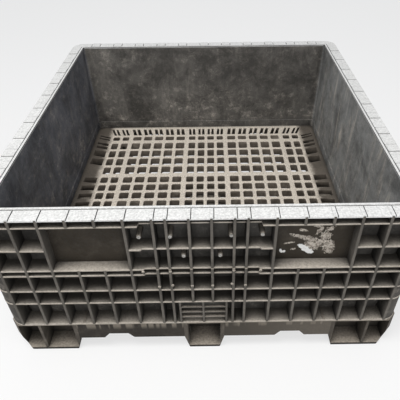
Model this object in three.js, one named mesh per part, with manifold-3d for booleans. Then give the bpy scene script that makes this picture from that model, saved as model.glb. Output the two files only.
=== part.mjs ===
import * as THREE from 'three';
import { mergeVertices } from 'three/addons/utils/BufferGeometryUtils.js';
import Module from 'manifold-3d';

// Bulk pallet box: fixed ribbed walls, a grid floor and nine feet, moulded in one piece.
// Millimetres. X runs across the front, Y from front to back, Z up. The origin is on the
// ground under the middle of the box, and the front wall faces -Y.

// Plan of the box
const boxWidth = 1200;
const boxDepth = 1200;
const cornerRadius = 45;
const cornerFacets = 2;

// Heights, stacked from the ground up: the base, then the bays of the ribbed walls
const footHeight = 59;
const skirtDepth = 68;
const lipThickness = 8;
const lowestBay = 96;
const secondBay = 50;
const thirdBay = 60;
const bandGap = 15;
const lowerPanelBay = 72;
const upperPanelBay = 78;
const rimBay = 20;
const shelfThickness = 6;
const subRimThickness = 5;
const rimThickness = 8;

// Walls and ribs
const rimWidth = 49;
const wallThickness = 5;
const wallTaper = 5;
const ribThickness = 7;
const innerCornerRadius = 14;

// Ribs of the front wall, measured from its middle
const centreRibOffset = 29;
const gateRibOffset = 88;
const gateEdgeOffset = 122;
const frontRibPitch = 72;

// Ribs of the side and back walls
const sideRibPitch = 158;

// Front wall: the stepped-back middle zone, the two label bays and the small grille
const gateZoneWidth = 320;
const gateSetBack = 5;
const labelStartRib = 1;
const labelBays = 3;
const labelDepth = 34;
const grilleWidth = 144;
const grilleBars = 3;
const grilleBarHeight = 5;
const grilleDepth = 9;
const grillePostWidth = 6;

// Base: skirt, feet and the beams below the floor
const skirtThickness = 6;
const notchOffset = 270;
const notchBottomWidth = 94;
const notchTopWidth = 60;
const notchHeight = 21;
const cornerFootSize = 204;
const middleFootWidth = 126;
const middleFootDepth = 150;
const footDraft = 14;
const footSole = 10;
const footWall = 14;
const footPocketDepth = 60;
const footWeb = 8;
const beamThickness = 8;
const beamClearance = 6;

// Floor grid: beams measured from the middle, cells between them, and edge slots
const floorThickness = 14;
const floorRise = 13;
const longBeams = [94.5, 369.5];
const longBeamWidth = 22;
const longCells = [4, 5, 2];
const crossBeams = [138.5, 409.5];
const crossBeamWidth = 25;
const crossCells = [5, 4, 1];
const cellBar = 15;
const smallestCell = 20;
const gridMarginX = 90;
const gridMarginY = 92;
const slotBar = 18;
const slotLength = 50;
const slotSpread = 1.05;
const slotNarrowing = 0.8;

// Heights worked out from the stack
const lipBottom = footHeight + skirtDepth;
const lipTop = lipBottom + lipThickness;
const floorTop = lipTop + floorRise;
const shelfTops = [];
let level = lipTop;
for (const bay of [lowestBay, secondBay, thirdBay, bandGap, lowerPanelBay, upperPanelBay]) {
  level += bay + shelfThickness;
  shelfTops.push(level);
}
const [shelfD, shelfC, bandLower, bandUpper, shelfA, subRim] = shelfTops;
const rimBottom = subRim + rimBay;
const boxHeight = rimBottom + rimThickness;

// Half sizes in plan
const halfX = boxWidth / 2;
const halfY = boxDepth / 2;
const wallOuterX = halfX - rimWidth + wallThickness;
const wallOuterY = halfY - rimWidth + wallThickness;
const pocketDepth = rimWidth - wallThickness;
const sink = 1;

const wasm = await Module();
wasm.setup();

// A closed three.js geometry as a solid that can be joined and cut
function solid(geometry) {
  const bare = geometry.clone();
  bare.deleteAttribute('normal');
  bare.deleteAttribute('uv');
  const merged = mergeVertices(bare, 1e-4);
  const mesh = new wasm.Mesh({
    numProp: 3,
    vertProperties: new Float32Array(merged.attributes.position.array),
    triVerts: new Uint32Array(merged.index.array),
  });
  return new wasm.Manifold(mesh);
}

// A solid as a three.js geometry
function geometryOf(body) {
  const mesh = body.getMesh();
  const geometry = new THREE.BufferGeometry();
  geometry.setAttribute('position', new THREE.BufferAttribute(mesh.vertProperties, 3));
  geometry.setIndex(new THREE.BufferAttribute(mesh.triVerts, 1));
  geometry.computeVertexNormals();
  return geometry;
}

// Many solids joined into one
function join(bodies) {
  return bodies.reduce((whole, body) => whole.add(body));
}

// A box between two corners
function block(x0, x1, y0, y1, z0, z1) {
  const geometry = new THREE.BoxGeometry(x1 - x0, y1 - y0, z1 - z0);
  geometry.translate((x0 + x1) / 2, (y0 + y1) / 2, (z0 + z1) / 2);
  return solid(geometry);
}

// Plan outline with rounded corners
function roundedOutline(hx, hy, radius) {
  const shape = new THREE.Shape();
  shape.moveTo(hx, -hy + radius);
  shape.lineTo(hx, hy - radius);
  shape.absarc(hx - radius, hy - radius, radius, 0, Math.PI / 2, false);
  shape.lineTo(-hx + radius, hy);
  shape.absarc(-hx + radius, hy - radius, radius, Math.PI / 2, Math.PI, false);
  shape.lineTo(-hx, -hy + radius);
  shape.absarc(-hx + radius, -hy + radius, radius, Math.PI, 1.5 * Math.PI, false);
  shape.lineTo(hx - radius, -hy);
  shape.absarc(hx - radius, -hy + radius, radius, 1.5 * Math.PI, 2 * Math.PI, false);
  return shape;
}

// Plan outline with square corners
function squareOutline(hx, hy) {
  const corners = [[hx, -hy], [hx, hy], [-hx, hy], [-hx, -hy]];
  return new THREE.Shape(corners.map(([x, y]) => new THREE.Vector2(x, y)));
}

// An outline raised from z0 to z1, whose lower end can be drawn in by an inset
function prism(shape, z0, z1, hx = 1, hy = 1, inset = 0) {
  const geometry = new THREE.ExtrudeGeometry(shape, {
    depth: z1 - z0,
    bevelEnabled: false,
    curveSegments: cornerFacets,
  });
  const position = geometry.attributes.position;
  for (let i = 0; i < position.count; i += 1) {
    if (inset !== 0 && position.getZ(i) < (z1 - z0) / 2) {
      position.setX(i, position.getX(i) * (hx - inset) / hx);
      position.setY(i, position.getY(i) * (hy - inset) / hy);
    }
  }
  geometry.translate(0, 0, z0);
  return solid(geometry);
}

// A horizontal plate that runs all round the outside of the walls
function ringPlate(top, thickness) {
  const outline = roundedOutline(halfX, halfY, cornerRadius);
  outline.holes.push(squareOutline(wallOuterX - wallTaper - sink, wallOuterY - wallTaper - sink));
  return prism(outline, top - thickness, top);
}

// A horizontal rib that crosses only the front wall
function frontPlate(top, thickness) {
  const hx = halfX - cornerRadius;
  return block(-hx, hx, -halfY, -wallOuterY + wallTaper + sink, top - thickness, top);
}

// The block that the walls and floor are hollowed from, and the hollow inside it
function wallBlock() {
  const outline = squareOutline(wallOuterX, wallOuterY);
  const z0 = floorTop - floorThickness;
  return prism(outline, z0, rimBottom + sink, wallOuterX, wallOuterY, wallTaper);
}

function cavity() {
  const hx = wallOuterX - wallThickness;
  const hy = wallOuterY - wallThickness;
  const outline = roundedOutline(hx, hy, innerCornerRadius);
  return prism(outline, floorTop, boxHeight + sink, hx, hy, wallTaper);
}

// Places of the ribs along a wall, symmetric about its middle, with a rib where each corner starts
function frontRibPlaces() {
  const cornerRib = halfX - cornerRadius;
  const count = Math.max(1, Math.round((cornerRib - gateEdgeOffset) / frontRibPitch));
  const pitch = (cornerRib - gateEdgeOffset) / count;
  const places = [centreRibOffset, gateRibOffset];
  for (let i = 0; i <= count; i += 1) {
    places.push(gateEdgeOffset + i * pitch);
  }
  return places;
}

function sideRibPlaces(half) {
  const cornerRib = half - cornerRadius;
  const count = Math.max(1, Math.round(cornerRib / sideRibPitch - 0.5));
  const pitch = cornerRib / (count + 0.5);
  const places = [];
  for (let i = 0; i <= count; i += 1) {
    places.push((i + 0.5) * pitch);
  }
  return places;
}

// Upright ribs of the front wall
function frontRibs() {
  const ribs = [];
  const t = ribThickness / 2;
  const back = -wallOuterY + wallTaper + sink;
  for (const place of frontRibPlaces()) {
    for (const x of [-place, place]) {
      ribs.push(block(x - t, x + t, -halfY, back, lipTop - sink, rimBottom + sink));
    }
  }
  return ribs;
}

// Upright ribs of the back wall and the two side walls
function otherRibs() {
  const ribs = [];
  const t = ribThickness / 2;
  for (const place of sideRibPlaces(halfX)) {
    for (const x of [-place, place]) {
      ribs.push(block(x - t, x + t, wallOuterY - wallTaper - sink, halfY, lipTop - sink, rimBottom + sink));
    }
  }
  for (const place of sideRibPlaces(halfY)) {
    for (const y of [-place, place]) {
      const inner = wallOuterX - wallTaper - sink;
      ribs.push(block(inner, halfX, y - t, y + t, lipTop - sink, rimBottom + sink));
      ribs.push(block(-halfX, -inner, y - t, y + t, lipTop - sink, rimBottom + sink));
    }
  }
  return ribs;
}

// Label bays: flat panels with no ribs, between two ribs of the front wall
function labelRange() {
  const places = frontRibPlaces().slice(2);
  const start = places[labelStartRib] + ribThickness / 2;
  const end = places[labelStartRib + labelBays] - ribThickness / 2;
  return [start, end];
}

function labelPanels() {
  const [start, end] = labelRange();
  const y0 = -halfY + labelDepth;
  const y1 = -wallOuterY + wallTaper + sink;
  const z0 = bandUpper - sink;
  const z1 = subRim - subRimThickness + sink;
  return [
    block(start - sink, end + sink, y0, y1, z0, z1),
    block(-end - sink, -start + sink, y0, y1, z0, z1),
  ];
}

function labelHollows() {
  const [start, end] = labelRange();
  const y0 = -halfY - sink;
  const y1 = -halfY + labelDepth;
  const z1 = subRim - subRimThickness;
  return [
    block(start, end, y0, y1, bandUpper, z1),
    block(-end, -start, y0, y1, bandUpper, z1),
  ];
}

// The small grille in the middle bay above the lip
function grilleHollow() {
  const hx = gateRibOffset - ribThickness / 2;
  const z1 = shelfD - shelfThickness;
  return block(-hx, hx, -halfY - sink, -halfY + pocketDepth - wallTaper, lipTop, z1);
}

function grille() {
  const parts = [];
  const z0 = lipTop - sink;
  const z1 = shelfD - shelfThickness + sink;
  const y1 = -halfY + grilleDepth;
  const post = grillePostWidth / 2;
  const postPlaces = [-grilleWidth / 2 + post, 0, grilleWidth / 2 - post];
  for (const x of postPlaces) {
    parts.push(block(x - post, x + post, -halfY, y1, z0, z1));
  }
  const step = (z1 - z0) / (grilleBars + 1);
  for (let i = 1; i <= grilleBars; i += 1) {
    const z = z0 + i * step;
    const half = grilleBarHeight / 2;
    parts.push(block(postPlaces[0], postPlaces[2], -halfY, y1 - sink, z - half, z + half));
  }
  return parts;
}

// The stepped-back middle of the front wall, from below the rim down to the band
function gateStep() {
  const hx = gateZoneWidth / 2;
  return block(-hx, hx, -halfY - sink, -halfY + gateSetBack, bandUpper - shelfThickness - sink, rimBottom);
}

// The skirt round the base, with slant-sided notches over the fork ways
function skirt() {
  const outline = roundedOutline(halfX, halfY, cornerRadius);
  const hx = halfX - skirtThickness;
  const hy = halfY - skirtThickness;
  outline.holes.push(roundedOutline(hx, hy, cornerRadius - skirtThickness));
  return prism(outline, footHeight, lipBottom + sink);
}

function notches() {
  const shape = new THREE.Shape();
  shape.moveTo(-notchBottomWidth / 2, -sink);
  shape.lineTo(notchBottomWidth / 2, -sink);
  shape.lineTo(notchTopWidth / 2, notchHeight);
  shape.lineTo(-notchTopWidth / 2, notchHeight);
  shape.closePath();
  const cuts = [];
  for (const offset of [-notchOffset, notchOffset]) {
    const depth = boxDepth + 2 * sink;
    const geometry = new THREE.ExtrudeGeometry(shape, { depth, bevelEnabled: false });
    geometry.rotateX(Math.PI / 2);
    geometry.translate(offset, halfY + sink, footHeight);
    cuts.push(solid(geometry));
  }
  return cuts;
}

// One foot: a drafted block that runs up to the floor
function foot(cx, cy, sizeX, sizeY) {
  const hx = sizeX / 2;
  const hy = sizeY / 2;
  const outline = squareOutline(hx, hy);
  const base = prism(outline, 0, footHeight, hx, hy, footDraft);
  const column = block(-hx, hx, -hy, hy, footHeight, floorTop - floorThickness + sink);
  return base.add(column).translate([cx, cy, 0]);
}

function feet() {
  const cx = halfX - cornerFootSize / 2;
  const cy = halfY - cornerFootSize / 2;
  const mx = halfX - middleFootDepth / 2;
  const my = halfY - middleFootDepth / 2;
  const parts = [];
  for (const sx of [-1, 1]) {
    parts.push(foot(sx * mx, 0, middleFootDepth, middleFootWidth));
    parts.push(foot(0, sx * my, middleFootWidth, middleFootDepth));
    for (const sy of [-1, 1]) {
      parts.push(foot(sx * cx, sy * cy, cornerFootSize, cornerFootSize));
    }
  }
  parts.push(foot(0, 0, middleFootWidth, middleFootWidth));
  const envelope = prism(roundedOutline(halfX, halfY, cornerRadius), -sink, floorTop);
  return join(parts).intersect(envelope);
}

// The span between two distances in from a wall, on the side that the sign gives
function spanFrom(half, sign, a, b) {
  const ends = [sign * (half - a), sign * (half - b)];
  return ends.sort((first, second) => first - second);
}

// Pockets of the feet, open to the outside or to the fork ways, above a flat sole
function footPockets() {
  const cuts = [];
  const pocket = (spanX, spanY) => block(...spanX, ...spanY, footSole, lipBottom);
  const inner = middleFootWidth / 2 - footWall;
  const across = [-inner, inner];
  const pocketEnd = (middleFootDepth - footWeb) / 2;
  for (const side of [-1, 1]) {
    cuts.push(pocket(across, spanFrom(halfY, side, -sink, pocketEnd)));
    cuts.push(pocket(across, spanFrom(halfY, side, middleFootDepth - pocketEnd, middleFootDepth + sink)));
    cuts.push(pocket(spanFrom(halfX, side, -sink, pocketEnd), across));
    cuts.push(pocket(spanFrom(halfX, side, middleFootDepth - pocketEnd, middleFootDepth + sink), across));
    cuts.push(pocket(across, spanFrom(0, side, footWeb / 2, middleFootWidth / 2 + sink)));
  }
  const far = cornerFootSize - footWall;
  const firstEnd = cornerFootSize / 2;
  const second = firstEnd + footWeb;
  const deep = footPocketDepth + footWeb;
  for (const sx of [-1, 1]) {
    for (const sy of [-1, 1]) {
      const nearY = spanFrom(halfY, sy, -sink, footPocketDepth);
      cuts.push(pocket(spanFrom(halfX, sx, footWall, firstEnd), nearY));
      cuts.push(pocket(spanFrom(halfX, sx, second, far), nearY));
      cuts.push(pocket(spanFrom(halfX, sx, -sink, footPocketDepth), spanFrom(halfY, sy, deep, far)));
      cuts.push(pocket(spanFrom(halfX, sx, deep, far), spanFrom(halfY, sy, deep, cornerFootSize + sink)));
    }
  }
  return cuts;
}

// Beams below the floor, from front to back under the wide bars of the grid
function beams() {
  const parts = [];
  const t = beamThickness / 2;
  const z0 = footHeight + beamClearance;
  const z1 = floorTop - floorThickness + sink;
  for (const place of longBeams) {
    for (const x of [-place, place]) {
      parts.push(block(x - t, x + t, -halfY + sink, halfY - sink, z0, z1));
    }
  }
  return parts;
}

// Spans of the grid's cells along one direction, from the middle group outwards. A group that
// is short of room has fewer cells.
function cellSpans(beamPlaces, beamWidth, counts, fieldHalf) {
  const spans = [];
  const fill = (start, end, mostCells) => {
    const room = Math.floor((end - start + cellBar) / (smallestCell + cellBar));
    const count = Math.min(mostCells, room);
    const cell = (end - start - (count - 1) * cellBar) / count;
    for (let i = 0; i < count; i += 1) {
      const from = start + i * (cell + cellBar);
      spans.push([from, from + cell]);
    }
  };
  const first = beamPlaces[0] - beamWidth / 2;
  fill(-first, first, counts[0]);
  beamPlaces.forEach((place, i) => {
    const next = beamPlaces[i + 1];
    const end = next === undefined ? fieldHalf : Math.min(next - beamWidth / 2, fieldHalf);
    const before = spans.length;
    fill(place + beamWidth / 2, end, counts[i + 1]);
    for (const [from, to] of spans.slice(before)) {
      spans.push([-to, -from]);
    }
  });
  return spans;
}

// Spans of the slots at the front and back of the floor, each as wide as two cells
function endSlotSpans(spans) {
  const sorted = [...spans].sort((a, b) => a[0] - b[0]);
  const wide = [];
  for (let i = 0; i + 1 < sorted.length; i += 2) {
    wide.push([sorted[i][0], sorted[i + 1][1]]);
  }
  return wide;
}

// Openings of the floor: square cells in the field, tapered slots fanning out round its edge
function floorOpenings() {
  const fieldX = wallOuterX - wallThickness - wallTaper - gridMarginX;
  const fieldY = wallOuterY - wallThickness - wallTaper - gridMarginY;
  const spansX = cellSpans(longBeams, longBeamWidth, longCells, fieldX);
  const spansY = cellSpans(crossBeams, crossBeamWidth, crossCells, fieldY);
  const z0 = floorTop - floorThickness - sink;
  const z1 = floorTop + sink;
  const cuts = [];
  for (const [x0, x1] of spansX) {
    for (const [y0, y1] of spansY) {
      cuts.push(block(x0, x1, y0, y1, z0, z1));
    }
  }
  const slot = (from, to, start, side, across) => {
    const middle = (from + to) / 2;
    const half = (to - from) / 2;
    const end = start + slotLength;
    const corners = [
      [start, middle - half],
      [end, middle * slotSpread - half * slotNarrowing],
      [end, middle * slotSpread + half * slotNarrowing],
      [start, middle + half],
    ];
    const points = corners.map(([out, along]) => {
      return across ? new THREE.Vector2(side * out, along) : new THREE.Vector2(along, side * out);
    });
    const shape = new THREE.Shape(points);
    const geometry = new THREE.ExtrudeGeometry(shape, { depth: z1 - z0, bevelEnabled: false });
    geometry.translate(0, 0, z0);
    return solid(geometry);
  };
  const plainRow = crossBeams[0] + crossBeamWidth / 2;
  for (const side of [-1, 1]) {
    for (const [y0, y1] of spansY) {
      const nearEnd = Math.min(Math.abs(y0), Math.abs(y1));
      if (Math.abs(nearEnd - plainRow) > sink) {
        cuts.push(slot(y0, y1, fieldX + slotBar, side, true));
      }
    }
    for (const [x0, x1] of endSlotSpans(spansX)) {
      cuts.push(slot(x0, x1, fieldY + slotBar, side, false));
    }
  }
  return cuts;
}

// The whole moulding
function moulding() {
  const plates = [
    ringPlate(boxHeight, rimThickness),
    frontPlate(subRim, subRimThickness),
    frontPlate(bandLower, shelfThickness),
    frontPlate(shelfD, shelfThickness),
    ...[shelfA, bandUpper, shelfC].map((top) => ringPlate(top, shelfThickness)),
    ringPlate(lipTop, lipThickness),
  ];
  const raised = join([wallBlock(), ...plates, ...frontRibs(), ...otherRibs(), ...labelPanels()]);
  const walls = raised.subtract(join([...labelHollows(), grilleHollow(), gateStep()])).add(join(grille()));
  const base = join([skirt(), feet(), ...beams()]);
  const cuts = [cavity(), ...footPockets(), ...notches(), ...floorOpenings()];
  return walls.add(base).subtract(join(cuts));
}

const plastic = new THREE.MeshStandardMaterial({ color: 0x3c3a37, roughness: 0.82, metalness: 0 });

function namedMesh(name, body, material) {
  const mesh = new THREE.Mesh(geometryOf(body), material);
  mesh.name = name;
  return mesh;
}

const pallet = new THREE.Group();
pallet.name = 'bulk_pallet_box';
pallet.add(namedMesh('box_body', moulding(), plastic));

export default pallet;
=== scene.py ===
"""A worn bulk pallet box, moulded in one piece: walls, ribs, rim, floor grid, skirt and feet.

Metres. X runs across the front wall, Y from the front wall to the back wall, Z up, and the box
stands on Z = 0 with its middle on the origin.
"""

import logging
import math
import random
from dataclasses import dataclass
from enum import Enum
from typing import Iterable, Sequence

import bmesh
import bpy
from mathutils import Matrix, Vector, noise


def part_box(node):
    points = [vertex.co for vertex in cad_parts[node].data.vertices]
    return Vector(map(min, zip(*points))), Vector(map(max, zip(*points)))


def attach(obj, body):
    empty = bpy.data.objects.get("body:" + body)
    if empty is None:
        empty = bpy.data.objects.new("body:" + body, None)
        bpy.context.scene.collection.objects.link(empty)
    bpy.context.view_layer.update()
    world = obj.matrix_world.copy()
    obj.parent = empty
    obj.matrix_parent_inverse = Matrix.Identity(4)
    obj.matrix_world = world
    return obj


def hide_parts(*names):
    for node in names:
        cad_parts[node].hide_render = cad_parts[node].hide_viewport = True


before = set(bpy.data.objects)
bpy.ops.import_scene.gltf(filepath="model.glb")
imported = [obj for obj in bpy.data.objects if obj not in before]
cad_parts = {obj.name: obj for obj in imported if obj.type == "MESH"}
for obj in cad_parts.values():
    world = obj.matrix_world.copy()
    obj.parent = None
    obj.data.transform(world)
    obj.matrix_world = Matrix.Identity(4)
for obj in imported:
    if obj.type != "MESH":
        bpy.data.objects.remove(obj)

LOG = logging.getLogger("pallet_box")
BODY_NODE = "box_body"
MM = 0.001
SINK = 2 * MM  # how far a piece reaches into the one that carries it
NEAR = 1 * MM  # slack when places are compared
CORNERS = ((1, -1), (1, 1), (-1, 1), (-1, -1))  # signs of X and Y, anticlockwise

Point = tuple[float, float]
Colour = tuple[float, float, float]
Ring = list[Vector]


class Wall(Enum):
    """The four walls, each with the turn about Z that brings the front wall onto it."""

    FRONT = 0.0
    RIGHT = math.pi / 2
    BACK = math.pi
    LEFT = -math.pi / 2

    @property
    def across(self) -> bool:
        """Whether the wall runs along X."""
        return self in (Wall.FRONT, Wall.BACK)


@dataclass(frozen=True)
class Sizes:
    """Driving sizes of the box. The overall size comes from the frame.

    Attributes:
        half_x: Half the width across the front.
        half_y: Half the depth.
        height: Height over the rim.
        wall_taper: How far a wall leans in from the rim down to the floor.
        floor_top: Top of the floor. shelf_d to sub_rim are the tops of the plates above it.
        zone_half: Half length of the middle zone of the front.
        set_back: How far that zone is set back.
        long_beams: Middles of the wide bars of the floor along Y, as are cross_beams along X.
    """

    half_x: float
    half_y: float
    height: float
    corner_radius: float = 45 * MM
    rim_width: float = 49 * MM
    wall_thickness: float = 5 * MM
    wall_taper: float = 5 * MM
    rim_thickness: float = 8 * MM
    lip_top: float = 135 * MM
    lip_thickness: float = 8 * MM
    floor_top: float = 148 * MM
    floor_thickness: float = 14 * MM
    shelf_thickness: float = 6 * MM
    sub_rim_thickness: float = 5 * MM
    foot_height: float = 59 * MM
    shelf_d: float = 237 * MM
    shelf_c: float = 293 * MM
    band_lower: float = 359 * MM
    band_upper: float = 380 * MM
    shelf_a: float = 458 * MM
    sub_rim: float = 542 * MM
    zone_half: float = 160 * MM
    set_back: float = 5 * MM
    long_beams: Point = (94.5 * MM, 369.5 * MM)
    cross_beams: Point = (138.5 * MM, 409.5 * MM)

    @property
    def rim_bottom(self) -> float:
        """Underside of the rim."""
        return self.height - self.rim_thickness

    @property
    def lip_bottom(self) -> float:
        """Underside of the lip round the foot of the walls."""
        return self.lip_top - self.lip_thickness

    @property
    def pocket_depth(self) -> float:
        """From the ribs' front edges to the wall between them."""
        return self.rim_width - self.wall_thickness

    @property
    def mouth(self) -> Point:
        """Half sizes of the rim's inner edge."""
        return self.half_x - self.rim_width, self.half_y - self.rim_width

    @property
    def uprights(self) -> Point:
        """Lower and upper end of what stands between the lip and the rim."""
        return self.lip_top - SINK, self.rim_bottom + SINK

    def run(self, wall: Wall) -> Point:
        """Half length of a wall, and its distance from the middle."""
        return (self.half_x, self.half_y) if wall.across else (self.half_y, self.half_x)

    def walls_at(self, z: float) -> Point:
        """Half distances between the outer faces of opposite walls.

        Args:
            z: Height above the ground.

        Returns:
            The half distances along X and Y, which grow towards the rim.
        """
        share = (self.height - z) / (self.height - self.floor_top)
        lean = self.wall_taper * share
        return self.half_x - self.pocket_depth - lean, self.half_y - self.pocket_depth - lean


# Small helpers that make meshes


def new_object(name: str, mesh: bpy.types.Mesh) -> bpy.types.Object:
    """Links a mesh to the scene as an object at the origin.

    Args:
        name: The object's name.
        mesh: Its mesh.

    Returns:
        The new object.
    """
    mesh.name = name
    obj = bpy.data.objects.new(name, mesh)
    bpy.context.scene.collection.objects.link(obj)
    return obj


def object_from(bm: bmesh.types.BMesh, name: str, merge: float = 1e-6) -> bpy.types.Object:
    """Turns a bmesh into an object with merged doubles and outward normals.

    Args:
        bm: The bmesh, which is freed.
        name: The object's name.
        merge: Distance under which vertices are merged.

    Returns:
        The new object.
    """
    bmesh.ops.remove_doubles(bm, verts=bm.verts, dist=merge)
    bmesh.ops.recalc_face_normals(bm, faces=bm.faces)
    mesh = bpy.data.meshes.new(name)
    bm.to_mesh(mesh)
    bm.free()
    return new_object(name, mesh)


def add_part(bm: bmesh.types.BMesh, part: bmesh.types.BMesh) -> None:
    """Adds one bmesh to another.

    Args:
        bm: The bmesh to add to.
        part: The bmesh that is added, and freed.
    """
    scratch = bpy.data.meshes.new("scratch")
    part.to_mesh(scratch)
    part.free()
    bm.from_mesh(scratch)
    bpy.data.meshes.remove(scratch)


def loft(bm: bmesh.types.BMesh, rings: Sequence[Ring], closed: bool, capped: bool) -> None:
    """Joins rings of points with quads.

    Args:
        bm: The bmesh to add to.
        rings: Rings with the same number of points.
        closed: Whether the last ring joins the first.
        capped: Whether the two end rings are filled.
    """
    made = [[bm.verts.new(p) for p in ring] for ring in rings]
    count = len(made[0])
    pairs = list(zip(made, made[1:]))
    if closed:
        pairs.append((made[-1], made[0]))
    for low, high in pairs:
        for i in range(count):
            j = (i + 1) % count
            bm.faces.new((low[i], low[j], high[j], high[i]))
    if capped and not closed:
        bm.faces.new(list(reversed(made[0])))
        bm.faces.new(made[-1])


def add_block(bm: bmesh.types.BMesh, low: Sequence[float], high: Sequence[float],
              edge: float = 0.0) -> None:
    """Adds a box with softened edges.

    Args:
        bm: The bmesh to add to.
        low: Lowest corner.
        high: Highest corner.
        edge: Width of the softened edges, or 0 for sharp ones.
    """
    part = bmesh.new()
    bmesh.ops.create_cube(part, size=1.0)
    centre = [(a + b) / 2 for a, b in zip(low, high)]
    span = [b - a for a, b in zip(low, high)]
    bmesh.ops.scale(part, vec=span, verts=part.verts)
    bmesh.ops.translate(part, vec=centre, verts=part.verts)
    if edge > 0:
        bmesh.ops.bevel(part, geom=part.edges[:], offset=edge, segments=2, profile=0.6,
                        affect="EDGES")
    add_part(bm, part)


def arc(cx: float, cy: float, radius: float, start: float, steps: int = 6) -> list[Point]:
    """Points of a quarter circle in plan.

    Args:
        cx: Centre X.
        cy: Centre Y.
        radius: Radius.
        start: Start angle in radians.
        steps: Number of chords.

    Returns:
        The points, both ends included.
    """
    turns = [start + math.pi / 2 * i / steps for i in range(steps + 1)]
    return [(cx + radius * math.cos(a), cy + radius * math.sin(a)) for a in turns]


def arc_start(index: int) -> float:
    """Angle at which the arc of a corner starts, by the corner's place in CORNERS."""
    return -math.pi / 2 + index * math.pi / 2


@dataclass(frozen=True)
class Notch:
    """A cut into a wall's front line, seen in plan.

    Attributes:
        start: Where it starts along the wall.
        end: Where it ends.
        depth: How far it is set back.
        slope: Length of its slanted ends.
    """

    start: float
    end: float
    depth: float
    slope: float = 0.0


def side_points(length: float, offset: float, notches: Iterable[Notch]) -> list[Point]:
    """Points along one wall's front line, from left to right, at y = -offset.

    Args:
        length: Half length of the straight stretch.
        offset: Distance of the line from the middle.
        notches: Cuts along it, sorted.

    Returns:
        The points.
    """
    points: list[Point] = [(-length, -offset)]
    for notch in notches:
        deep = -offset + notch.depth
        points += [(notch.start, -offset), (notch.start + notch.slope, deep),
                   (notch.end - notch.slope, deep), (notch.end, -offset)]
    return [*points, (length, -offset)]


def turned(points: Iterable[Point], angle: float) -> list[Point]:
    """Points turned about the middle.

    Args:
        points: The points.
        angle: The turn in radians.

    Returns:
        The turned points.
    """
    c, s = math.cos(angle), math.sin(angle)
    return [(x * c - y * s, x * s + y * c) for x, y in points]


def on_wall(wall: Wall, offset: float, places: Iterable[float]) -> list[Vector]:
    """Places on the front line of a wall.

    Args:
        wall: The wall.
        offset: Distance of the line from the middle.
        places: Places along the wall.

    Returns:
        The places at ground level.
    """
    return [Vector((x, y, 0.0)) for x, y in turned([(p, -offset) for p in places], wall.value)]


def perimeter(sizes: Sizes, inset: float,
              notches: dict[Wall, list[Notch]] | None = None) -> list[Point]:
    """The box's outline in plan with round corners, anticlockwise from the front left.

    Args:
        sizes: The box's sizes.
        inset: How far inside the overall size the line runs.
        notches: Cuts along each wall.

    Returns:
        The closed outline's points.
    """
    notches = notches or {}
    radius = sizes.corner_radius - inset
    hx, hy = sizes.half_x - inset, sizes.half_y - inset
    points: list[Point] = []
    for index, (wall, (sx, sy)) in enumerate(zip(Wall, CORNERS)):
        along, offset = (hx, hy) if wall.across else (hy, hx)
        points += turned(side_points(along - radius, offset, notches.get(wall, [])), wall.value)
        corner = arc(sx * hx - sx * radius, sy * hy - sy * radius, radius, arc_start(index))
        points += corner[1:-1]
    return points


def add_band(bm: bmesh.types.BMesh, path: Sequence[Point], inner: Point, z0: float, z1: float,
             edge: float, closed: bool = True) -> None:
    """Adds a flat plate that follows a line in plan, with a soft outer edge.

    Args:
        bm: The bmesh to add to.
        path: The plate's outer line.
        inner: Half sizes of the rectangle that the plate's inner line lies on.
        z0: Underside.
        z1: Top.
        edge: Radius of the soft outer edge.
        closed: Whether the line closes on itself.
    """
    chords = 3
    rings = []
    for x, y in path:
        ix = min(max(x, -inner[0]), inner[0])
        iy = min(max(y, -inner[1]), inner[1])
        reach = Vector((ix - x, iy - y, 0.0))
        inward = reach.normalized() if reach.length > 0 else Vector((0.0, 0.0, 0.0))
        ring = [Vector((ix, iy, z0))]
        for level, start, side in ((z0, -math.pi / 2, 1), (z1, 0.0, -1)):
            for step in range(chords + 1):
                a = start + math.pi / 2 * step / chords
                z = level + side * edge * (1 + side * math.sin(a))
                ring.append(Vector((x, y, z)) + inward * (edge * (1 - math.cos(a))))
        rings.append([*ring, Vector((ix, iy, z1))])
    loft(bm, rings, closed, not closed)


def evaluated_mesh(obj: bpy.types.Object) -> bpy.types.Mesh:
    """An object's mesh with its modifiers or its curve settings carried out.

    Args:
        obj: The object.

    Returns:
        A new mesh.
    """
    bpy.context.view_layer.update()
    graph = bpy.context.evaluated_depsgraph_get()
    return bpy.data.meshes.new_from_object(obj.evaluated_get(graph), depsgraph=graph)


def apply_modifiers(obj: bpy.types.Object) -> None:
    """Replaces an object's mesh by its evaluated mesh and drops its modifiers.

    Args:
        obj: The object.
    """
    mesh = evaluated_mesh(obj)
    obj.modifiers.clear()
    obj.data = mesh


def cut_with(obj: bpy.types.Object, cutter: bpy.types.Object) -> None:
    """Cuts one closed mesh out of another and removes the cutter.

    Args:
        obj: The object that is cut.
        cutter: The object that is taken away from it.
    """
    modifier = obj.modifiers.new("cut", "BOOLEAN")
    modifier.operation = "DIFFERENCE"
    modifier.solver = "EXACT"
    modifier.use_self = True
    modifier.object = cutter
    apply_modifiers(obj)
    bpy.data.objects.remove(cutter)


def soften(obj: bpy.types.Object, width: float) -> None:
    """Rounds an object's sharp edges.

    Args:
        obj: The object.
        width: Width of the rounding.
    """
    bevel = obj.modifiers.new("soft_edges", "BEVEL")
    bevel.width = width
    bevel.segments = 2
    bevel.limit_method = "ANGLE"
    bevel.angle_limit = math.radians(35.0)
    apply_modifiers(obj)


# Geometry Nodes: copies of one piece on a list of places


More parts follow.
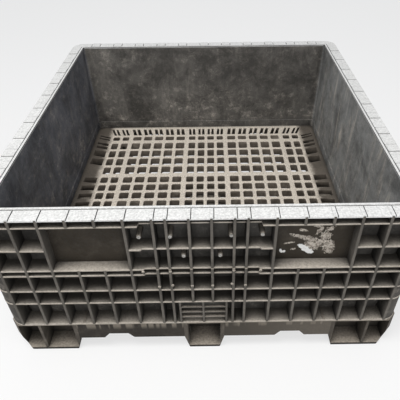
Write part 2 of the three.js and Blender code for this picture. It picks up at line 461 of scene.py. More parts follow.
class Copier:
    """Sets copies of a piece through Geometry Nodes and leaves a plain mesh."""

    def __init__(self) -> None:
        """Builds the tree once: it puts a turned copy of Piece on each point of Geometry."""
        self.tree = bpy.data.node_groups.new("copies_on_places", "GeometryNodeTree")
        face, nodes, links = self.tree.interface, self.tree.nodes, self.tree.links
        face.new_socket("Geometry", in_out="OUTPUT", socket_type="NodeSocketGeometry")
        face.new_socket("Geometry", in_out="INPUT", socket_type="NodeSocketGeometry")
        piece = face.new_socket("Piece", in_out="INPUT", socket_type="NodeSocketObject")
        turn = face.new_socket("Turn", in_out="INPUT", socket_type="NodeSocketVector")
        self.piece, self.turn = piece.identifier, turn.identifier
        entry = nodes.new("NodeGroupInput")
        info = nodes.new("GeometryNodeObjectInfo")
        put = nodes.new("GeometryNodeInstanceOnPoints")
        real = nodes.new("GeometryNodeRealizeInstances")
        leave = nodes.new("NodeGroupOutput")
        links.new(entry.outputs["Piece"], info.inputs["Object"])
        links.new(entry.outputs["Geometry"], put.inputs["Points"])
        links.new(entry.outputs["Turn"], put.inputs["Rotation"])
        links.new(info.outputs["Geometry"], put.inputs["Instance"])
        links.new(put.outputs["Instances"], real.inputs["Geometry"])
        links.new(real.outputs["Geometry"], leave.inputs["Geometry"])

    def on_places(self, name: str, piece: bpy.types.Object, places: Sequence[Vector],
                  turn: float = 0.0) -> bpy.types.Object:
        """Sets a copy on each place.

        Args:
            name: Name of the result.
            piece: The pattern piece, which is removed.
            places: Where the copies go.
            turn: Their turn about Z.

        Returns:
            The result, with a plain mesh.
        """
        mesh = bpy.data.meshes.new(name)
        mesh.from_pydata([tuple(p) for p in places], [], [])
        obj = new_object(name, mesh)
        modifier = obj.modifiers.new("places", "NODES")
        modifier.node_group = self.tree
        modifier[self.piece] = piece
        modifier[self.turn] = (0.0, 0.0, turn)
        apply_modifiers(obj)
        bpy.data.objects.remove(piece)
        return obj


# Finishes


@dataclass(frozen=True)
class Grain:
    """A kind of noise.

    Attributes:
        scale: How fine it is.
        detail: Number of finer layers.
        rough: Share of the finer layers.
        twist: How far it is twisted.
        stretch: Scale along each axis, for marks that run one way.
    """

    scale: float
    detail: float
    rough: float
    twist: float = 0.0
    stretch: tuple[float, float, float] | None = None


class Graph:
    """Short words for building a material's nodes."""

    def __init__(self, name: str) -> None:
        """Starts an empty material.

        Args:
            name: The material's name.
        """
        self.material = bpy.data.materials.new(name)
        self.material.use_nodes = True
        self.tree = self.material.node_tree
        self.tree.nodes.clear()
        self.place = self.tree.nodes.new("ShaderNodeTexCoord").outputs["Object"]

    def wire(self, value: object, socket: bpy.types.NodeSocket) -> None:
        """Links an output to a socket, or sets the socket to a plain value.

        Args:
            value: The output or value.
            socket: The socket.
        """
        if isinstance(value, bpy.types.NodeSocket):
            self.tree.links.new(value, socket)
        else:
            socket.default_value = value

    def math(self, kind: str, a: object, b: object = 0.0) -> bpy.types.NodeSocket:
        """Works out a sum, product or the like.

        Args:
            kind: The Math node's operation.
            a: First value.
            b: Second value.

        Returns:
            The result.
        """
        node = self.tree.nodes.new("ShaderNodeMath")
        node.operation = kind
        self.wire(a, node.inputs[0])
        self.wire(b, node.inputs[1])
        return node.outputs[0]

    def times(self, a: object, b: object) -> bpy.types.NodeSocket:
        """The product of two values."""
        return self.math("MULTIPLY", a, b)

    def most(self, a: object, b: object) -> bpy.types.NodeSocket:
        """The higher of two values."""
        return self.math("MAXIMUM", a, b)

    def noise(self, grain: Grain) -> bpy.types.NodeSocket:
        """Adds noise on Object coordinates.

        Args:
            grain: The kind of noise.

        Returns:
            Its value.
        """
        node = self.tree.nodes.new("ShaderNodeTexNoise")
        source = self.place
        if grain.stretch:
            mapping = self.tree.nodes.new("ShaderNodeMapping")
            self.wire(self.place, mapping.inputs["Vector"])
            mapping.inputs["Scale"].default_value = grain.stretch
            source = mapping.outputs[0]
        self.wire(source, node.inputs["Vector"])
        node.inputs["Scale"].default_value = grain.scale
        node.inputs["Detail"].default_value = grain.detail
        node.inputs["Roughness"].default_value = grain.rough
        node.inputs["Distortion"].default_value = grain.twist
        return node.outputs["Fac"]

    def span(self, value: bpy.types.NodeSocket, low: float, high: float,
             out_low: float = 0.0, out_high: float = 1.0) -> bpy.types.NodeSocket:
        """Maps a stretch of values smoothly onto another.

        Args:
            value: The value.
            low: Start of the stretch.
            high: Its end.
            out_low: Result at its start and before.
            out_high: Result at its end and beyond.

        Returns:
            The result.
        """
        node = self.tree.nodes.new("ShaderNodeMapRange")
        node.interpolation_type = "SMOOTHSTEP"
        self.wire(value, node.inputs["Value"])
        for label, number in (("From Min", low), ("From Max", high),
                              ("To Min", out_low), ("To Max", out_high)):
            node.inputs[label].default_value = number
        return node.outputs["Result"]

    def blend(self, share: object, a: object, b: object) -> bpy.types.NodeSocket:
        """Mixes two colours.

        Args:
            share: Share of the second colour.
            a: First colour.
            b: Second colour.

        Returns:
            The mixed colour.
        """
        node = self.tree.nodes.new("ShaderNodeMix")
        node.data_type = "RGBA"
        self.wire(share, node.inputs[0])
        self.wire((*a, 1.0) if isinstance(a, tuple) else a, node.inputs[6])
        self.wire((*b, 1.0) if isinstance(b, tuple) else b, node.inputs[7])
        return node.outputs[2]

    def axis(self, vector: bpy.types.NodeSocket, name: str) -> bpy.types.NodeSocket:
        """Splits off one component of a vector.

        Args:
            vector: The vector.
            name: X, Y or Z.

        Returns:
            The component.
        """
        split = self.tree.nodes.new("ShaderNodeSeparateXYZ")
        self.wire(vector, split.inputs[0])
        return split.outputs[name]

    def facing(self, name: str) -> bpy.types.NodeSocket:
        """One component of the surface's direction."""
        return self.axis(self.tree.nodes.new("ShaderNodeNewGeometry").outputs["Normal"], name)

    def scaled(self, colour: bpy.types.NodeSocket,
               share: bpy.types.NodeSocket) -> bpy.types.NodeSocket:
        """Makes a colour brighter or darker.

        Args:
            colour: The colour.
            share: What it is multiplied by.

        Returns:
            The new colour.
        """
        node = self.tree.nodes.new("ShaderNodeVectorMath")
        node.operation = "SCALE"
        self.wire(colour, node.inputs[0])
        self.wire(share, node.inputs["Scale"])
        return node.outputs[0]

    def corner_dirt_and_shade(self, reach: float) -> bpy.types.NodeSocket:
        """Finds corners, where dirt stays and where painted shade is put as shade would fall.

        Args:
            reach: How far away other surfaces count.

        Returns:
            1 in the open and less in corners.
        """
        node = self.tree.nodes.new("ShaderNodeAmbientOcclusion")
        node.samples = 8
        node.inputs["Distance"].default_value = reach
        return node.outputs["AO"]

    def finish(self, colour: bpy.types.NodeSocket, roughness: object,
               height: bpy.types.NodeSocket, bump: float) -> bpy.types.Material:
        """Closes the material with a Principled shader.

        Args:
            colour: Base colour.
            roughness: Roughness, as an output or a number.
            height: Height for the bump.
            bump: Height of the bump in metres.

        Returns:
            The material.
        """
        shader = self.tree.nodes.new("ShaderNodeBsdfPrincipled")
        out = self.tree.nodes.new("ShaderNodeOutputMaterial")
        relief = self.tree.nodes.new("ShaderNodeBump")
        relief.inputs["Distance"].default_value = bump
        relief.inputs["Strength"].default_value = 0.7
        self.wire(height, relief.inputs["Height"])
        self.wire(colour, shader.inputs["Base Color"])
        self.wire(roughness, shader.inputs["Roughness"])
        self.wire(relief.outputs["Normal"], shader.inputs["Normal"])
        shader.inputs["Specular IOR Level"].default_value = 0.3
        self.tree.links.new(shader.outputs["BSDF"], out.inputs["Surface"])
        return self.material


PATCHES = Grain(7.0, 6.0, 0.6, 0.6)
SPECKS = Grain(170.0, 6.0, 0.72)
PORES = Grain(900.0, 3.0, 0.6)
BLOTCHES = Grain(26.0, 8.0, 0.68)
WAVES = Grain(30.0, 4.0, 0.6)
# Noise for the pools of painted light below the lip.
LIGHT_POOL_GRAIN = Grain(1.0, 1.0, 0.4, stretch=(58.0, 58.0, 2.0))


@dataclass(frozen=True)
class WornPlastic:
    """Plastic with dust on what faces up, faded patches, and dirt and painted shade in the
    corners.

    Attributes:
        name: The material's name.
        plastic: Colour of the bare plastic.
        faded: Colour of the faded patches.
        dust: Colour of the dust, also used for the patches of painted light below the lip.
        top_dust: Share of dust on faces that look up.
        patch_dust: Share of dust in patches on other faces.
        deep: Brightness left in deep corners, darkened as painted shade, and as dirt at short
            reach.
        reach: Reach of that darkening.
        hanging: Height from which pale patches of painted light hang down, with a paler right
            half, or 0 for none.
        margin: Distance from the middle beyond which the dust is gone, or 0 for none.
        soiled: Height up to which upright faces are dirty, or 0 for none.
    """

    name: str
    plastic: Colour
    faded: Colour
    dust: Colour
    top_dust: float
    patch_dust: float
    deep: float
    reach: float
    hanging: float = 0.0
    margin: float = 0.0
    soiled: float = 0.0

    def dust_and_light_share(self, g: Graph, up: bpy.types.NodeSocket, specks: bpy.types.NodeSocket,
                   edge: bpy.types.NodeSocket) -> bpy.types.NodeSocket:
        """Where the dust lies, and where the patches of painted light go below the lip.

        Args:
            g: The material's graph.
            up: How far the surface looks up.
            specks: Fine noise.
            edge: Uneven distance from the middle across the front.

        Returns:
            The share of dust and painted light.
        """
        on_top = g.times(up, g.span(specks, 0.2, 0.6, 0.6 * self.top_dust, self.top_dust))
        dust = g.most(on_top, g.span(g.noise(BLOTCHES), 0.46, 0.74, 0.0, self.patch_dust))
        if self.margin > 0:
            dust = g.times(dust, g.span(edge, self.margin, self.margin + 35 * MM, 1.0, 0.12))
        if self.hanging > 0:
            # Painted light: soft pools of light below the lip, and a paler right half, mixed in as
            # dust colour.
            z = g.axis(g.place, "Z")
            below = g.span(z, self.hanging - 30 * MM, self.hanging - 4 * MM)
            light_pools = g.times(below, g.span(g.noise(LIGHT_POOL_GRAIN), 0.47, 0.58, 0.0, 0.5))
            lit_right_half = g.span(g.axis(g.place, "X"), -0.15, 0.45, 0.0, 0.3)
            dust = g.most(g.most(dust, lit_right_half), light_pools)
        return dust

    def build(self) -> bpy.types.Material:
        """Builds the material.

        Returns:
            The material.
        """
        g = Graph(self.name)
        specks = g.noise(SPECKS)
        up = g.span(g.facing("Z"), 0.2, 0.85)
        edge = g.math("ADD", g.math("ABSOLUTE", g.axis(g.place, "X")),
                      g.times(g.noise(WAVES), 30 * MM))
        base = g.blend(g.span(g.noise(PATCHES), 0.38, 0.66), self.plastic, self.faded)
        colour = g.blend(self.dust_and_light_share(g, up, specks, edge), base, self.dust)
        shade = g.span(specks, 0.3, 0.7, 0.76, 1.14)
        if self.margin > 0:
            shade = g.times(shade, g.span(edge, self.margin, self.margin + 40 * MM, 1.0, 0.5))
        if self.soiled > 0:
            z = g.axis(g.place, "Z")
            low = g.span(z, self.soiled + 3 * MM, self.soiled - 1 * MM)
            dirt = g.times(low, g.math("SUBTRACT", 1.0, up))
            shade = g.times(shade, g.span(dirt, 0.0, 1.0, 1.0, 0.55))
        # Painted shade: darker in corners and pockets where shade falls, and corner dirt at short
        # reach.
        shade = g.times(shade, g.span(g.corner_dirt_and_shade(self.reach), 0.2, 0.85, self.deep, 1.0))
        height = g.math("ADD", g.times(g.noise(PORES), 0.35), specks)
        roughness = g.span(specks, 0.3, 0.7, 0.6, 0.9)
        return g.finish(g.scaled(colour, shade), roughness, height, 0.4 * MM)


CLOUDS = Grain(3.6, 10.0, 0.72, 0.4)
STAINS = Grain(6.5, 10.0, 0.76, 0.3)
SMUDGES = Grain(19.0, 12.0, 0.86, 0.15)
BITS = Grain(70.0, 8.0, 0.8)
STREAKS = Grain(6.0, 6.0, 0.65, 0.7, (5.0, 5.0, 0.8))
SCRATCHES = Grain(30.0, 5.0, 0.7, stretch=(6.0, 6.0, 0.5))
DOTS = Grain(240.0, 5.0, 0.7)


@dataclass(frozen=True)
class ScuffedWall:
    """The inside of the walls: charcoal with upright scuffs, wiped dust, and painted light and
    shade.

    Attributes:
        name: The material's name.
        back: Colour of the walls that face front and back.
        left: Colour of the left wall, bluish and darker: painted shade.
        right: Colour of the right wall, lighter: painted light.
        pale: Colour of the scuffs.
    """

    name: str
    back: Colour
    left: Colour
    right: Colour
    pale: Colour

    def build(self) -> bpy.types.Material:
        """Builds the material.

        Returns:
            The material.
        """
        g = Graph(self.name)
        # Painted light and shade: each wall's tone is set by the way it faces the light.
        side = g.facing("X")
        base = g.blend(g.span(side, 0.3, 0.9), self.back, self.left)
        base = g.blend(g.span(side, -0.3, -0.9), base, self.right)
        clouds, fine, dots = g.noise(CLOUDS), g.noise(SCRATCHES), g.noise(DOTS)
        smudges = g.span(g.noise(SMUDGES), 0.49, 0.7, 0.0, 0.7)
        bits = g.span(g.noise(BITS), 0.6, 0.7, 0.0, 0.75)
        on_right = g.span(side, -0.3, -0.9, 0.15, 0.95)
        scuffs = g.times(g.span(g.noise(STREAKS), 0.5, 0.74), on_right)
        scratches = g.times(g.span(fine, 0.6, 0.78), g.span(clouds, 0.42, 0.62, 0.1, 0.7))
        low = g.span(g.axis(g.place, "Z"), 0.4, 0.2, 0.65, 1.25)
        pale = g.most(g.most(scuffs, scratches), g.times(g.most(smudges, bits), low))
        colour = g.blend(pale, base, self.pale)
        dark = g.span(g.noise(STAINS), 0.36, 0.64, 0.5, 1.3)
        grime = g.times(dark, g.span(dots, 0.3, 0.7, 0.84, 1.12))
        # Painted shade: darker in the corners where shade falls.
        shade = g.times(grime, g.span(g.corner_dirt_and_shade(70 * MM), 0.3, 0.95, 0.4, 1.0))
        height = g.math("ADD", g.times(fine, 0.6), g.times(dots, 0.4))
        roughness = g.span(clouds, 0.3, 0.7, 0.55, 0.8)
        return g.finish(g.scaled(colour, shade), roughness, height, 0.35 * MM)


@dataclass(frozen=True)
class TornPaper:
    """Scraps of old label: pale paper with grey dirt.

    Attributes:
        name: The material's name.
        paper: Colour of the paper.
        dirt: Colour of the dirt on it.
        cover: How much of it is dirty, from 0 to 1.
    """

    name: str
    paper: Colour
    dirt: Colour
    cover: float

    def build(self) -> bpy.types.Material:
        """Builds the material.

        Returns:
            The material.
        """
        g = Graph(self.name)
        blots = g.span(g.noise(Grain(90.0, 8.0, 0.7)), 0.62 - 0.35 * self.cover,
                       0.8 - 0.3 * self.cover)
        fibres = g.noise(Grain(700.0, 4.0, 0.7))
        return g.finish(g.blend(blots, self.paper, self.dirt), 0.9, fibres, 0.3 * MM)


DUST = (0.46, 0.41, 0.35)
# In each WornPlastic the two numbers after the dust shares set the painted shade in corners:
# brightness left and reach.
FINISHES = {
    "ribs": WornPlastic("rib_plastic", (0.085, 0.077, 0.067), (0.125, 0.114, 0.1),
                        DUST, 0.9, 0.12, 0.08, 70 * MM),
    "skins": WornPlastic("skin_plastic", (0.04, 0.036, 0.032), (0.075, 0.069, 0.061),
                         DUST, 0.9, 0.35, 0.1, 40 * MM),
    "shelves": WornPlastic("shelf_plastic", (0.33, 0.295, 0.25), (0.44, 0.4, 0.35),
                           (0.58, 0.525, 0.455), 0.95, 0.3, 0.06, 80 * MM),
    "panels": WornPlastic("panel_plastic", (0.022, 0.017, 0.011), (0.034, 0.027, 0.019),
                          DUST, 0.9, 0.06, 0.3, 60 * MM),
    "feet": WornPlastic("foot_plastic", (0.055, 0.046, 0.037), (0.085, 0.074, 0.061),
                        (0.42, 0.37, 0.31), 0.95, 0.2, 0.08, 70 * MM, soiled=11 * MM),
    # Skirt: near-black as painted shade under the lip; its pale patches below the lip are painted
    # light.
    "skirt": WornPlastic("skirt_plastic", (0.014, 0.011, 0.008), (0.026, 0.021, 0.016),
                         (0.32, 0.28, 0.23), 0.9, 0.08, 0.45, 40 * MM, hanging=127 * MM),
    # Rim: pale from dust and bleaching, and partly a painted highlight of the bright light from
    # above.
    "rim": WornPlastic("rim_plastic", (0.66, 0.66, 0.65), (0.76, 0.76, 0.76),
                       (0.78, 0.78, 0.77), 0.7, 0.3, 0.1, 7 * MM),
    "grid": WornPlastic("grid_plastic", (0.15, 0.125, 0.1), (0.22, 0.185, 0.15),
                        (0.8, 0.72, 0.62), 0.97, 0.25, 0.08, 30 * MM, margin=470 * MM),
    # Inside walls: the left wall's bluish dark tone and the right wall's pale tone are painted
    # shade and light.
    "inside": ScuffedWall("scuffed_wall", (0.1, 0.095, 0.088), (0.1, 0.105, 0.122),
                          (0.22, 0.225, 0.224), (0.5, 0.46, 0.41)),
    "paper": TornPaper("label_paper", (0.76, 0.76, 0.75), (0.4, 0.38, 0.35), 0.1),
    "crust": TornPaper("label_crust", (0.56, 0.51, 0.45), (0.17, 0.145, 0.12), 0.6),
    "tips": TornPaper("bright_tip", (0.4, 0.39, 0.37), (0.16, 0.15, 0.135), 0.4),
}


# Sub-assemblies


@dataclass
class SubAssembly:
    """A part of the moulding that is made and dressed by itself.

    Attributes:
        sizes: The box's sizes.
        materials: The finishes' materials by name.
    """

    sizes: Sizes
    materials: dict[str, bpy.types.Material]

    def dress(self, obj: bpy.types.Object, finish: str) -> None:
        """Gives a finished piece its material and its place on the frame.

        Args:
            obj: The piece.
            finish: Name of its finish.
        """
        obj.data.materials.clear()
        obj.data.materials.append(self.materials[finish])
        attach(obj, "root")
        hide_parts(BODY_NODE)
        LOG.info("%s: %d faces", obj.name, len(obj.data.polygons))


@dataclass
class Walls(SubAssembly):
    """The four walls without their ribs, with the low ledge inside."""

    corner: float = 14 * MM
    ledge_height: float = 34 * MM
    ledge_depth: float = 2.5 * MM
    ledge_slope: float = 2 * MM

    def outline(self, z: float, thickness: float = 0.0, step: float = 0.0) -> Ring:
        """A rounded rectangle at a height.

        Args:
            z: The height.
            thickness: How far inside the outer faces it runs.
            step: How much further for the ledge.

        Returns:
            Its points.
        """
        hx, hy = (half - thickness - step - self.corner for half in self.sizes.walls_at(z))
        points: list[Point] = []
        for index, (sx, sy) in enumerate(CORNERS):
            points += arc(sx * hx, sy * hy, self.corner, arc_start(index))
        return [Vector((x, y, z)) for x, y in points]

    def build(self) -> None:
        """Builds the walls as one closed ring with a stepped inner face."""
        s = self.sizes
        base, top = s.floor_top - s.floor_thickness, s.rim_bottom + SINK
        ledge, inside = s.floor_top + self.ledge_height, s.wall_thickness
        rings = [self.outline(base), self.outline(top), self.outline(top, inside),
                 self.outline(ledge + self.ledge_slope, inside),
                 self.outline(ledge, inside, self.ledge_depth),
                 self.outline(base, inside, self.ledge_depth)]
        bm = bmesh.new()
        loft(bm, rings, True, False)
        self.dress(object_from(bm, "walls"), "inside")


@dataclass
class RibLayout:
    """Where the upright ribs stand on each wall.

    Attributes:
        sizes: The box's sizes.
        centre: Place of the two ribs at the middle of the front wall.
        gate: Place of the next two.
        edge: Place of the two ribs beside the middle zone.
        pitch: Pitch of the ribs outside it.
        pair_pitch: Pitch of the rib pairs on the other walls.
        pair_width: Distance between the two ribs of a pair.
    """

    sizes: Sizes
    centre: float = 29 * MM
    gate: float = 88 * MM
    edge: float = 122 * MM
    pitch: float = 72 * MM
    pair_pitch: float = 99.3 * MM
    pair_width: float = 36 * MM

    def outer_front(self) -> list[float]:
        """Places from the middle zone's edge to the corner, on one side.

        Returns:
            The places, sorted.
        """
        corner = self.sizes.half_x - self.sizes.corner_radius
        count = round((corner - self.edge) / self.pitch)
        step = (corner - self.edge) / count
        return [self.edge + i * step for i in range(count + 1)]

    def front(self) -> list[float]:
        """Every place on the front wall, sorted."""
        half = [self.centre, self.gate, *self.outer_front()]
        return sorted([-x for x in half] + half)

    def pairs(self, half: float) -> list[float]:
        """Middles of the rib pairs on a side or back wall.

        Args:
            half: Half length of the wall.

        Returns:
            The middles, sorted.
        """
        count = int((half - self.sizes.corner_radius - self.pair_width) / self.pair_pitch)
        return [i * self.pair_pitch for i in range(-count, count + 1)]

    def side(self, half: float) -> list[float]:
        """Every rib's place on a side or back wall, sorted.

        Args:
            half: Half length of the wall.

        Returns:
            The places, with the two at the corners.
        """
        places = [m + s * self.pair_width / 2 for m in self.pairs(half) for s in (-1, 1)]
        corner = half - self.sizes.corner_radius
        return sorted([*places, -corner, corner])

    def label_range(self) -> Point:
        """The two ribs that a label bay lies between."""
        places = self.outer_front()
        return places[1], places[4]


@dataclass
class Ribs(SubAssembly):
    """The upright ribs of all four walls, with drafted sides and rounded front edges."""

    layout: RibLayout
    front_thickness: float = 7.6 * MM
    root_thickness: float = 10 * MM
    rounding: float = 1.6 * MM

    def rib(self, low: float, high: float, back: float = 0.0) -> bpy.types.Object:
        """One rib of the front wall at x = 0, with its front edge at y = back.

        Args:
            low: Lower end.
            high: Upper end.
            back: How far the front edge is set back.

        Returns:
            The pattern piece.
        """
        half, root = self.front_thickness / 2, self.root_thickness / 2
        turns = (0.0, math.pi / 6, math.pi / 3, math.pi / 2)
        curve = [(self.rounding * (1 - math.cos(a)), back + self.rounding * (1 - math.sin(a)))
                 for a in turns]
        outline = [(x - half, y) for x, y in curve] + [(half - x, y) for x, y in curve[::-1]]
        rings = []
        for z in (low, high):
            deep = self.sizes.half_y - self.sizes.walls_at(z)[1] + SINK
            rings.append([Vector((x, y, z)) for x, y in [(-root, deep), *outline, (root, deep)]])
        bm = bmesh.new()
        loft(bm, rings, False, True)
        return object_from(bm, "pattern")

    def kinds_at(self, x: float) -> tuple[str, ...]:
        """Names of the ribs at a place on the front wall.

        Args:
            x: The place.

        Returns:
            The names of one rib, or of a lower and an upper one.
        """
        low, high = self.layout.label_range()
        if low + NEAR < abs(x) < high - NEAR:
            return "ribs_below_labels", "ribs_above_labels"
        if abs(x) < self.layout.gate - NEAR:
            return "ribs_centre_low", "ribs_middle_high"
        if abs(x) < self.sizes.zone_half:
            return "ribs_middle_low", "ribs_middle_high"
        return ("ribs_front",)

    def front_ribs(self, copier: Copier) -> None:
        """The front wall's ribs: whole, short above and below the label bays, and set back.

        Args:
            copier: Sets the copies.
        """
        s = self.sizes
        low, high = s.uprights
        band = s.band_upper - SINK
        kinds = {
            "ribs_front": (low, high),
            "ribs_below_labels": (low, band),
            "ribs_above_labels": (s.sub_rim - SINK, high),
            "ribs_middle_low": (low, band),
            "ribs_centre_low": (s.shelf_d - SINK, band),
            "ribs_middle_high": (s.band_upper - 2 * SINK, high, s.set_back),
        }
        for name, span in kinds.items():
            places = [x for x in self.layout.front() if name in self.kinds_at(x)]
            spots = on_wall(Wall.FRONT, s.half_y, places)
            self.dress(copier.on_places(name, self.rib(*span), spots), "ribs")

    def build(self, copier: Copier) -> None:
        """Builds and dresses all ribs.

        Args:
            copier: Sets the copies.
        """
        self.front_ribs(copier)
        for wall in (Wall.RIGHT, Wall.BACK, Wall.LEFT):
            along, offset = self.sizes.run(wall)
            spots = on_wall(wall, offset, self.layout.side(along))
            name = f"ribs_{wall.name.lower()}"
            piece = self.rib(*self.sizes.uprights)
            self.dress(copier.on_places(name, piece, spots, wall.value), "ribs")


@dataclass
class Shelves(SubAssembly):
    """The horizontal ribs that run round the walls, and the lip at their foot."""

    layout: RibLayout
    edge: float = 1.5 * MM
    behind_ribs: float = 1.2 * MM
    sub_rim_set_back: float = 14 * MM
    step_slope: float = 3 * MM

    def zone(self, depth: float) -> Notch:
        """The stepped-back middle zone as a notch in plan."""
        half = self.sizes.zone_half
        return Notch(-half, half, depth, min(depth, self.step_slope))

    def add_plate(self, bm: bmesh.types.BMesh, path: list[Point], top: float, thickness: float,
                  closed: bool = True) -> None:
        """Adds a plate from a line in plan to the walls.

        Args:
            bm: The bmesh to add to.
            path: The plate's outer line.
            top: Its top.
            thickness: Its thickness.
            closed: Whether the line closes on itself.
        """
        hx, hy = self.sizes.walls_at(max(top, self.sizes.floor_top))
        add_band(bm, path, (hx - SINK, hy - SINK), top - thickness, top, self.edge, closed)

    def whole(self, top: float, thickness: float, step: float = 0.0) -> bmesh.types.BMesh:
        """A plate that runs all the way round.

        Args:
            top: Its top.
            thickness: Its thickness.
            step: How far it is set back in the middle of the front.

        Returns:
            The plate.
        """
        bm = bmesh.new()
        notches = {Wall.FRONT: [self.zone(step)]} if step > 0 else {}
        self.add_plate(bm, perimeter(self.sizes, self.behind_ribs, notches), top, thickness)
        return bm

    def open_at_labels(self, top: float, thickness: float) -> bmesh.types.BMesh:
        """A plate that stops at the label bays and runs on between them.

        Args:
            top: Its top.
            thickness: Its thickness.

        Returns:
            The plate.
        """
        bm = bmesh.new()
        low, high = self.layout.label_range()
        offset = self.sizes.half_y - self.behind_ribs
        path = perimeter(self.sizes, self.behind_ribs)
        rest = [p for p in path if abs(p[1] + offset) >= 1e-6]
        start = next(i for i, p in enumerate(rest) if p[0] > 0)
        outside = [(high, -offset), *rest[start:], *rest[:start], (-high, -offset)]
        middle = side_points(low, offset, [self.zone(self.sizes.set_back)])
        for line in (outside, middle):
            self.add_plate(bm, line, top, thickness, closed=False)
        return bm

    def build(self) -> None:
        """Builds and dresses every plate."""
        s = self.sizes
        thick = s.shelf_thickness
        plates = {
            "shelf_upper": self.open_at_labels(s.shelf_a, thick),
            "band_upper": self.whole(s.band_upper, thick, s.set_back),
            "band_lower": self.whole(s.band_lower, thick, s.set_back),
            "shelf_middle": self.whole(s.shelf_c, thick),
            "shelf_lower": self.whole(s.shelf_d, thick),
            "sub_rim_rib": self.whole(s.sub_rim, s.sub_rim_thickness, self.sub_rim_set_back),
            "lip": self.whole(s.lip_top, s.lip_thickness),
        }
        for name, bm in plates.items():
            self.dress(object_from(bm, name), "shelves")


@dataclass
class CornerSkins(SubAssembly):
    """The rounded skins that close the four corners between the ribs."""

    inset: float = 2.5 * MM
    thickness: float = 4 * MM
    steps: int = 10

    def build(self) -> None:
        """Builds and dresses the four skins."""
        s = self.sizes
        outer = s.corner_radius - self.inset
        low, high = s.uprights
        bm = bmesh.new()
        for index, (sx, sy) in enumerate(CORNERS):
            cx, cy = sx * (s.half_x - s.corner_radius), sy * (s.half_y - s.corner_radius)
            far, near = (arc(cx, cy, radius, arc_start(index), self.steps)
                         for radius in (outer, outer - self.thickness))
            rings = [[Vector((*a, low)), Vector((*a, high)), Vector((*b, high)), Vector((*b, low))]
                     for a, b in zip(far, near)]
            loft(bm, rings, False, True)
        self.dress(object_from(bm, "corner_skins"), "skins")


@dataclass
class Rim(SubAssembly):
    """The wide rim: sunk pads between raised strips, an inner border and notches at the ribs."""

    layout: RibLayout
    pad_depth: float = 1.2 * MM
    groove_depth: float = 4 * MM
    groove_width: float = 2.4 * MM
    border: float = 9 * MM
    front_strip: float = 10 * MM
    strip_inset: float = 1.2 * MM
    raised_thickness: float = 4 * MM
    notch_width: float = 7 * MM
    notch_depth: float = 5 * MM
    notch_slope: float = 1 * MM
    edge: float = 1.6 * MM

    def notches(self, wall: Wall) -> list[Notch]:
        """Cuts in a wall's outer edge, one at each rib.

        Args:
            wall: The wall.

        Returns:
            The cuts, sorted.
        """
        layout, half = self.layout, self.notch_width / 2
        along = self.sizes.run(wall)[0]
        places = layout.front() if wall is Wall.FRONT else layout.side(along)
        return [Notch(x - half, x + half, self.notch_depth, self.notch_slope)
                for x in places[1:-1]]

    def strip_line(self, wall: Wall) -> tuple[list[float], float]:
        """Middles of a wall's raised strips, and their width."""
        if wall is Wall.FRONT:
            return self.layout.front()[1:-1], self.front_strip
        return self.layout.pairs(self.sizes.run(wall)[0]), self.layout.pair_width

    def grooves(self) -> bpy.types.Object:
        """Cutters for the grooves beside each strip and along the inner border.

        Returns:
            The cutters as one piece.
        """
        s = self.sizes
        half = self.groove_width / 2
        z0, z1 = s.height - self.pad_depth - self.groove_depth, s.height + 1 * MM
        bm = bmesh.new()
        for wall in Wall:
            places, width = self.strip_line(wall)
            reach = width / 2 + half
            half_length, offset = s.run(wall)
            inner = -offset + s.rim_width - self.border
            stop = half_length - s.rim_width + self.border + half
            part = bmesh.new()
            shifts = (reach,) if wall is Wall.FRONT else (-reach, reach)
            for x in (place + shift for place in places for shift in shifts):
                add_block(part, (x - half, -offset - 1 * MM, z0), (x + half, inner - half, z1))
            add_block(part, (-stop, inner - half, z0), (stop, inner + half, z1))
            turn = Matrix.Rotation(wall.value, 3, "Z")
            bmesh.ops.rotate(part, verts=part.verts, matrix=turn)
            add_part(bm, part)
        return object_from(bm, "grooves")

    def plate(self) -> bpy.types.Object:
        """The rim's plate, as high as the pads, with its grooves.

        Returns:
            The plate.
        """
        s = self.sizes
        path = perimeter(s, 0.0, {wall: self.notches(wall) for wall in Wall})
        bm = bmesh.new()
        add_band(bm, path, s.mouth, s.rim_bottom, s.height - self.pad_depth, self.edge)
        plate = object_from(bm, "rim_plate")
        cut_with(plate, self.grooves())
        return plate

    def inner_border(self) -> bpy.types.Object:
        """The raised strip along the rim's inner edge.

        Returns:
            The strip.
        """
        s = self.sizes
        hx, hy = (half + self.border - self.groove_width for half in s.mouth)
        path = [(sx * hx, sy * hy) for sx, sy in CORNERS[-1:] + CORNERS[:-1]]
        bm = bmesh.new()
        add_band(bm, path, s.mouth, s.height - self.raised_thickness, s.height, 0.8 * MM)
        return object_from(bm, "rim_border")

    def strip(self, width: float) -> bpy.types.Object:
        """One raised strip across the rim, for the front wall at x = 0.

        Args:
            width: Its width.

        Returns:
            The pattern piece.
        """
        s = self.sizes
        bm = bmesh.new()
        low = (-width / 2, self.strip_inset, s.height - self.raised_thickness)
        high = (width / 2, s.rim_width - self.border - self.groove_width, s.height)
        add_block(bm, low, high, 0.7 * MM)
        return object_from(bm, "pattern")

    def build(self, copier: Copier) -> None:
        """Builds and dresses the rim.

        Args:
            copier: Sets the copies.
        """
        self.dress(self.plate(), "rim")
        self.dress(self.inner_border(), "rim")
        for wall in Wall:
            places, width = self.strip_line(wall)
            spots = on_wall(wall, self.sizes.run(wall)[1], places)
            name = f"rim_strips_{wall.name.lower()}"
            self.dress(copier.on_places(name, self.strip(width), spots, wall.value), "rim")


def split(span: Point, count: int, gap: float) -> list[Point]:
    """Splits a stretch into equal stretches.

    Args:
        span: Its start and end.
        count: Number of parts.
        gap: Gap between them.

    Returns:
        Start and end of each part.
    """
    width = (span[1] - span[0] - (count - 1) * gap) / count
    starts = [span[0] + i * (width + gap) for i in range(count)]
    return [(a, a + width) for a in starts]


